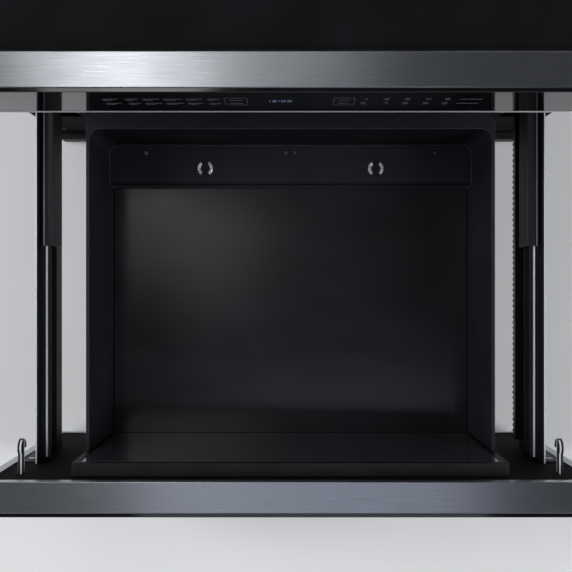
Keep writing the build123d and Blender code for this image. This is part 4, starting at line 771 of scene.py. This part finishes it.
def bead(shape, centre, along, facing, length):
    """A long pressed bead on a sheet: a flat pill with sloping sides, its foot sunk into the sheet."""
    rim = bmesh.ops.create_circle(shape, cap_ends=True, segments=BEAD_STEPS, radius=mm(BEAD_W / 2))["verts"]
    for point in rim:
        point.co.x += math.copysign(mm((length - BEAD_W) / 2), point.co.x)
    face = next(iter(set.intersection(*(set(v.link_faces) for v in rim))))
    sides = bmesh.ops.inset_region(
        shape, faces=[face], thickness=mm(BEAD_SLOPE), depth=mm(BEAD_RISE + BEAD_SUNK), use_boundary=True
    )["faces"]
    bmesh.ops.holes_fill(shape, edges=[e for e in shape.edges if e.is_boundary], sides=0)
    made = {v for f in [face, *sides] for v in f.verts}
    along, facing = Vector(along), Vector(facing)
    turn = Matrix((along, facing.cross(along), facing)).transposed().to_4x4()
    down = Matrix.Translation((0, 0, mm(-BEAD_SUNK)))
    bmesh.ops.transform(shape, matrix=Matrix.Translation(at(*centre)) @ turn @ down, verts=list(made))


def case_beads():
    """Stiffening beads pressed into the top and the sides of the case."""
    shape = bmesh.new()
    for x in TOP_BEADS_X:
        bead(shape, (x, TOP_BEADS_Y, CASE_TOP), (0, 1, 0), (0, 0, 1), TOP_BEADS_L)
    for side in (-1, 1):
        for z in SIDE_BEADS_Z:
            bead(shape, (side * CASE_SIDE, SIDE_BEADS_Y, z), (0, side, 0), (side, 0, 0), SIDE_BEADS_L)
    piece("case_beads", shape, [CASE_PAINT], "chassis")


def back_beads():
    """Stiffening beads pressed into the back panel, beside its grille."""
    shape = bmesh.new()
    for x in BACK_BEADS_X:
        bead(shape, (x, CASE_BACK, BACK_BEADS_Z), (0, 0, 1), (0, 1, 0), BACK_BEADS_L)
    piece("back_beads", shape, [ZINC], "chassis")


case_beads()
back_beads()


# Floor, light and camera --------------------------------------------------------------------------
# The floor's radius and its steps outward and up into a backdrop, in metres. It lies this many
# millimetres under the part.
FLOOR_R, FLOOR_STEPS = 6.0, 96
BACKDROP = ((0.6, 0.08), (0.5, 0.3), (0.35, 0.6), (0.12, 1.2), (0.0, 3.0))
FLOOR_UNDER = 0.5
SKY, SKY_STRENGTH = "#C8CCD2", 0.05
# The camera as the photograph's perspective gives it: its place in millimetres, its focal length and
# the point straight below it in pixels of the picture, and the sensor's width in millimetres
CAMERA = (0.0, -493.4, 1136.0)
FOCAL_PX = 853.0
NADIR_PX = (290.5, 288.0)
IMAGE_PX = 572.0
SENSOR = 36.0


def stage_floor():
    """Pale floor that curves up into a backdrop all round."""
    shape = bmesh.new()
    bmesh.ops.create_circle(shape, cap_ends=True, segments=FLOOR_STEPS, radius=FLOOR_R)
    edge = [e for e in shape.edges if e.is_boundary]
    for outward, rise in BACKDROP:
        grown = bmesh.ops.extrude_edge_only(shape, edges=edge)["geom"]
        for point in (v for v in grown if isinstance(v, bmesh.types.BMVert)):
            away = Vector((point.co.x, point.co.y, 0)).normalized()
            point.co += away * outward + Vector((0, 0, rise))
        edge = [e for e in grown if isinstance(e, bmesh.types.BMEdge)]
    mesh = bpy.data.meshes.new("floor")
    shape.to_mesh(mesh)
    shape.free()
    for polygon in mesh.polygons:
        polygon.use_smooth = True
    mesh.materials.append(PAPER)
    floor = bpy.data.objects.new("floor", mesh)
    floor.location.z = mm(-FLOOR_UNDER)
    bpy.context.scene.collection.objects.link(floor)


def softbox(name, where, target, size, power, tint="#FFFFFF", mirrored=True):
    """A rectangular area light, in metres and watts. One that isn't mirrored lights matt surfaces only."""
    lamp = bpy.data.lights.new(name, "AREA")
    lamp.shape = "RECTANGLE"
    lamp.size, lamp.size_y = size
    lamp.energy = power
    lamp.color = linear(tint)[:3]
    item = bpy.data.objects.new(name, lamp)
    item.location = where
    aim = (Vector(target) - Vector(where)).to_track_quat("-Z", "Y")
    item.rotation_euler = aim.to_euler()
    item.visible_glossy = mirrored
    bpy.context.scene.collection.objects.link(item)


def lighting():
    """Two large lamps light the part, and strips and cards overhead are what its steel and glass mirror."""
    world = bpy.data.worlds.new("studio")
    world.use_nodes = True
    sky = world.node_tree.nodes["Background"]
    sky.inputs["Color"].default_value = linear(SKY)
    sky.inputs["Strength"].default_value = SKY_STRENGTH
    bpy.context.scene.world = world
    drawer = (0.0, -0.4, 0.1)
    softbox("left", (-2.0, -0.6, 2.0), drawer, (1.4, 1.6), 62, mirrored=False)
    softbox("right", (2.0, -0.6, 2.0), drawer, (1.4, 1.6), 54, mirrored=False)
    softbox("strip_left", (-1.8, 0.0, 1.9), drawer, (0.4, 0.9), 11)
    softbox("strip_right", (1.8, -0.9, 1.9), drawer, (0.4, 0.9), 7)
    softbox("card_back", (-0.54, 0.2, 2.2), (-0.15, -0.35, 0.2), (0.45, 0.5), 2.2)
    softbox("card_wide", (-0.2, 0.3, 2.2), (-0.05, -0.35, 0.2), (0.8, 0.35), 0.9)
    softbox("card_middle", (-0.38, -0.3, 2.2), (-0.1, -0.45, 0.1), (0.35, 0.5), 0.5)
    softbox("card_front", (0.06, -1.15, 2.2), (0.0, -0.6, 0.2), (1.1, 0.4), 1.5, "#E4EBFF")


def camera():
    """Camera straight above the open drawer."""
    lens = bpy.data.cameras.new("view")
    lens.sensor_width = SENSOR
    lens.lens = FOCAL_PX / IMAGE_PX * SENSOR
    lens.shift_x = -(NADIR_PX[0] - IMAGE_PX / 2) / IMAGE_PX
    lens.shift_y = (NADIR_PX[1] - IMAGE_PX / 2) / IMAGE_PX
    item = bpy.data.objects.new("view", lens)
    item.location = at(*CAMERA)
    bpy.context.scene.collection.objects.link(item)
    bpy.context.scene.camera = item


stage_floor()
lighting()
camera()
bpy.context.scene.view_settings.view_transform = "Standard"
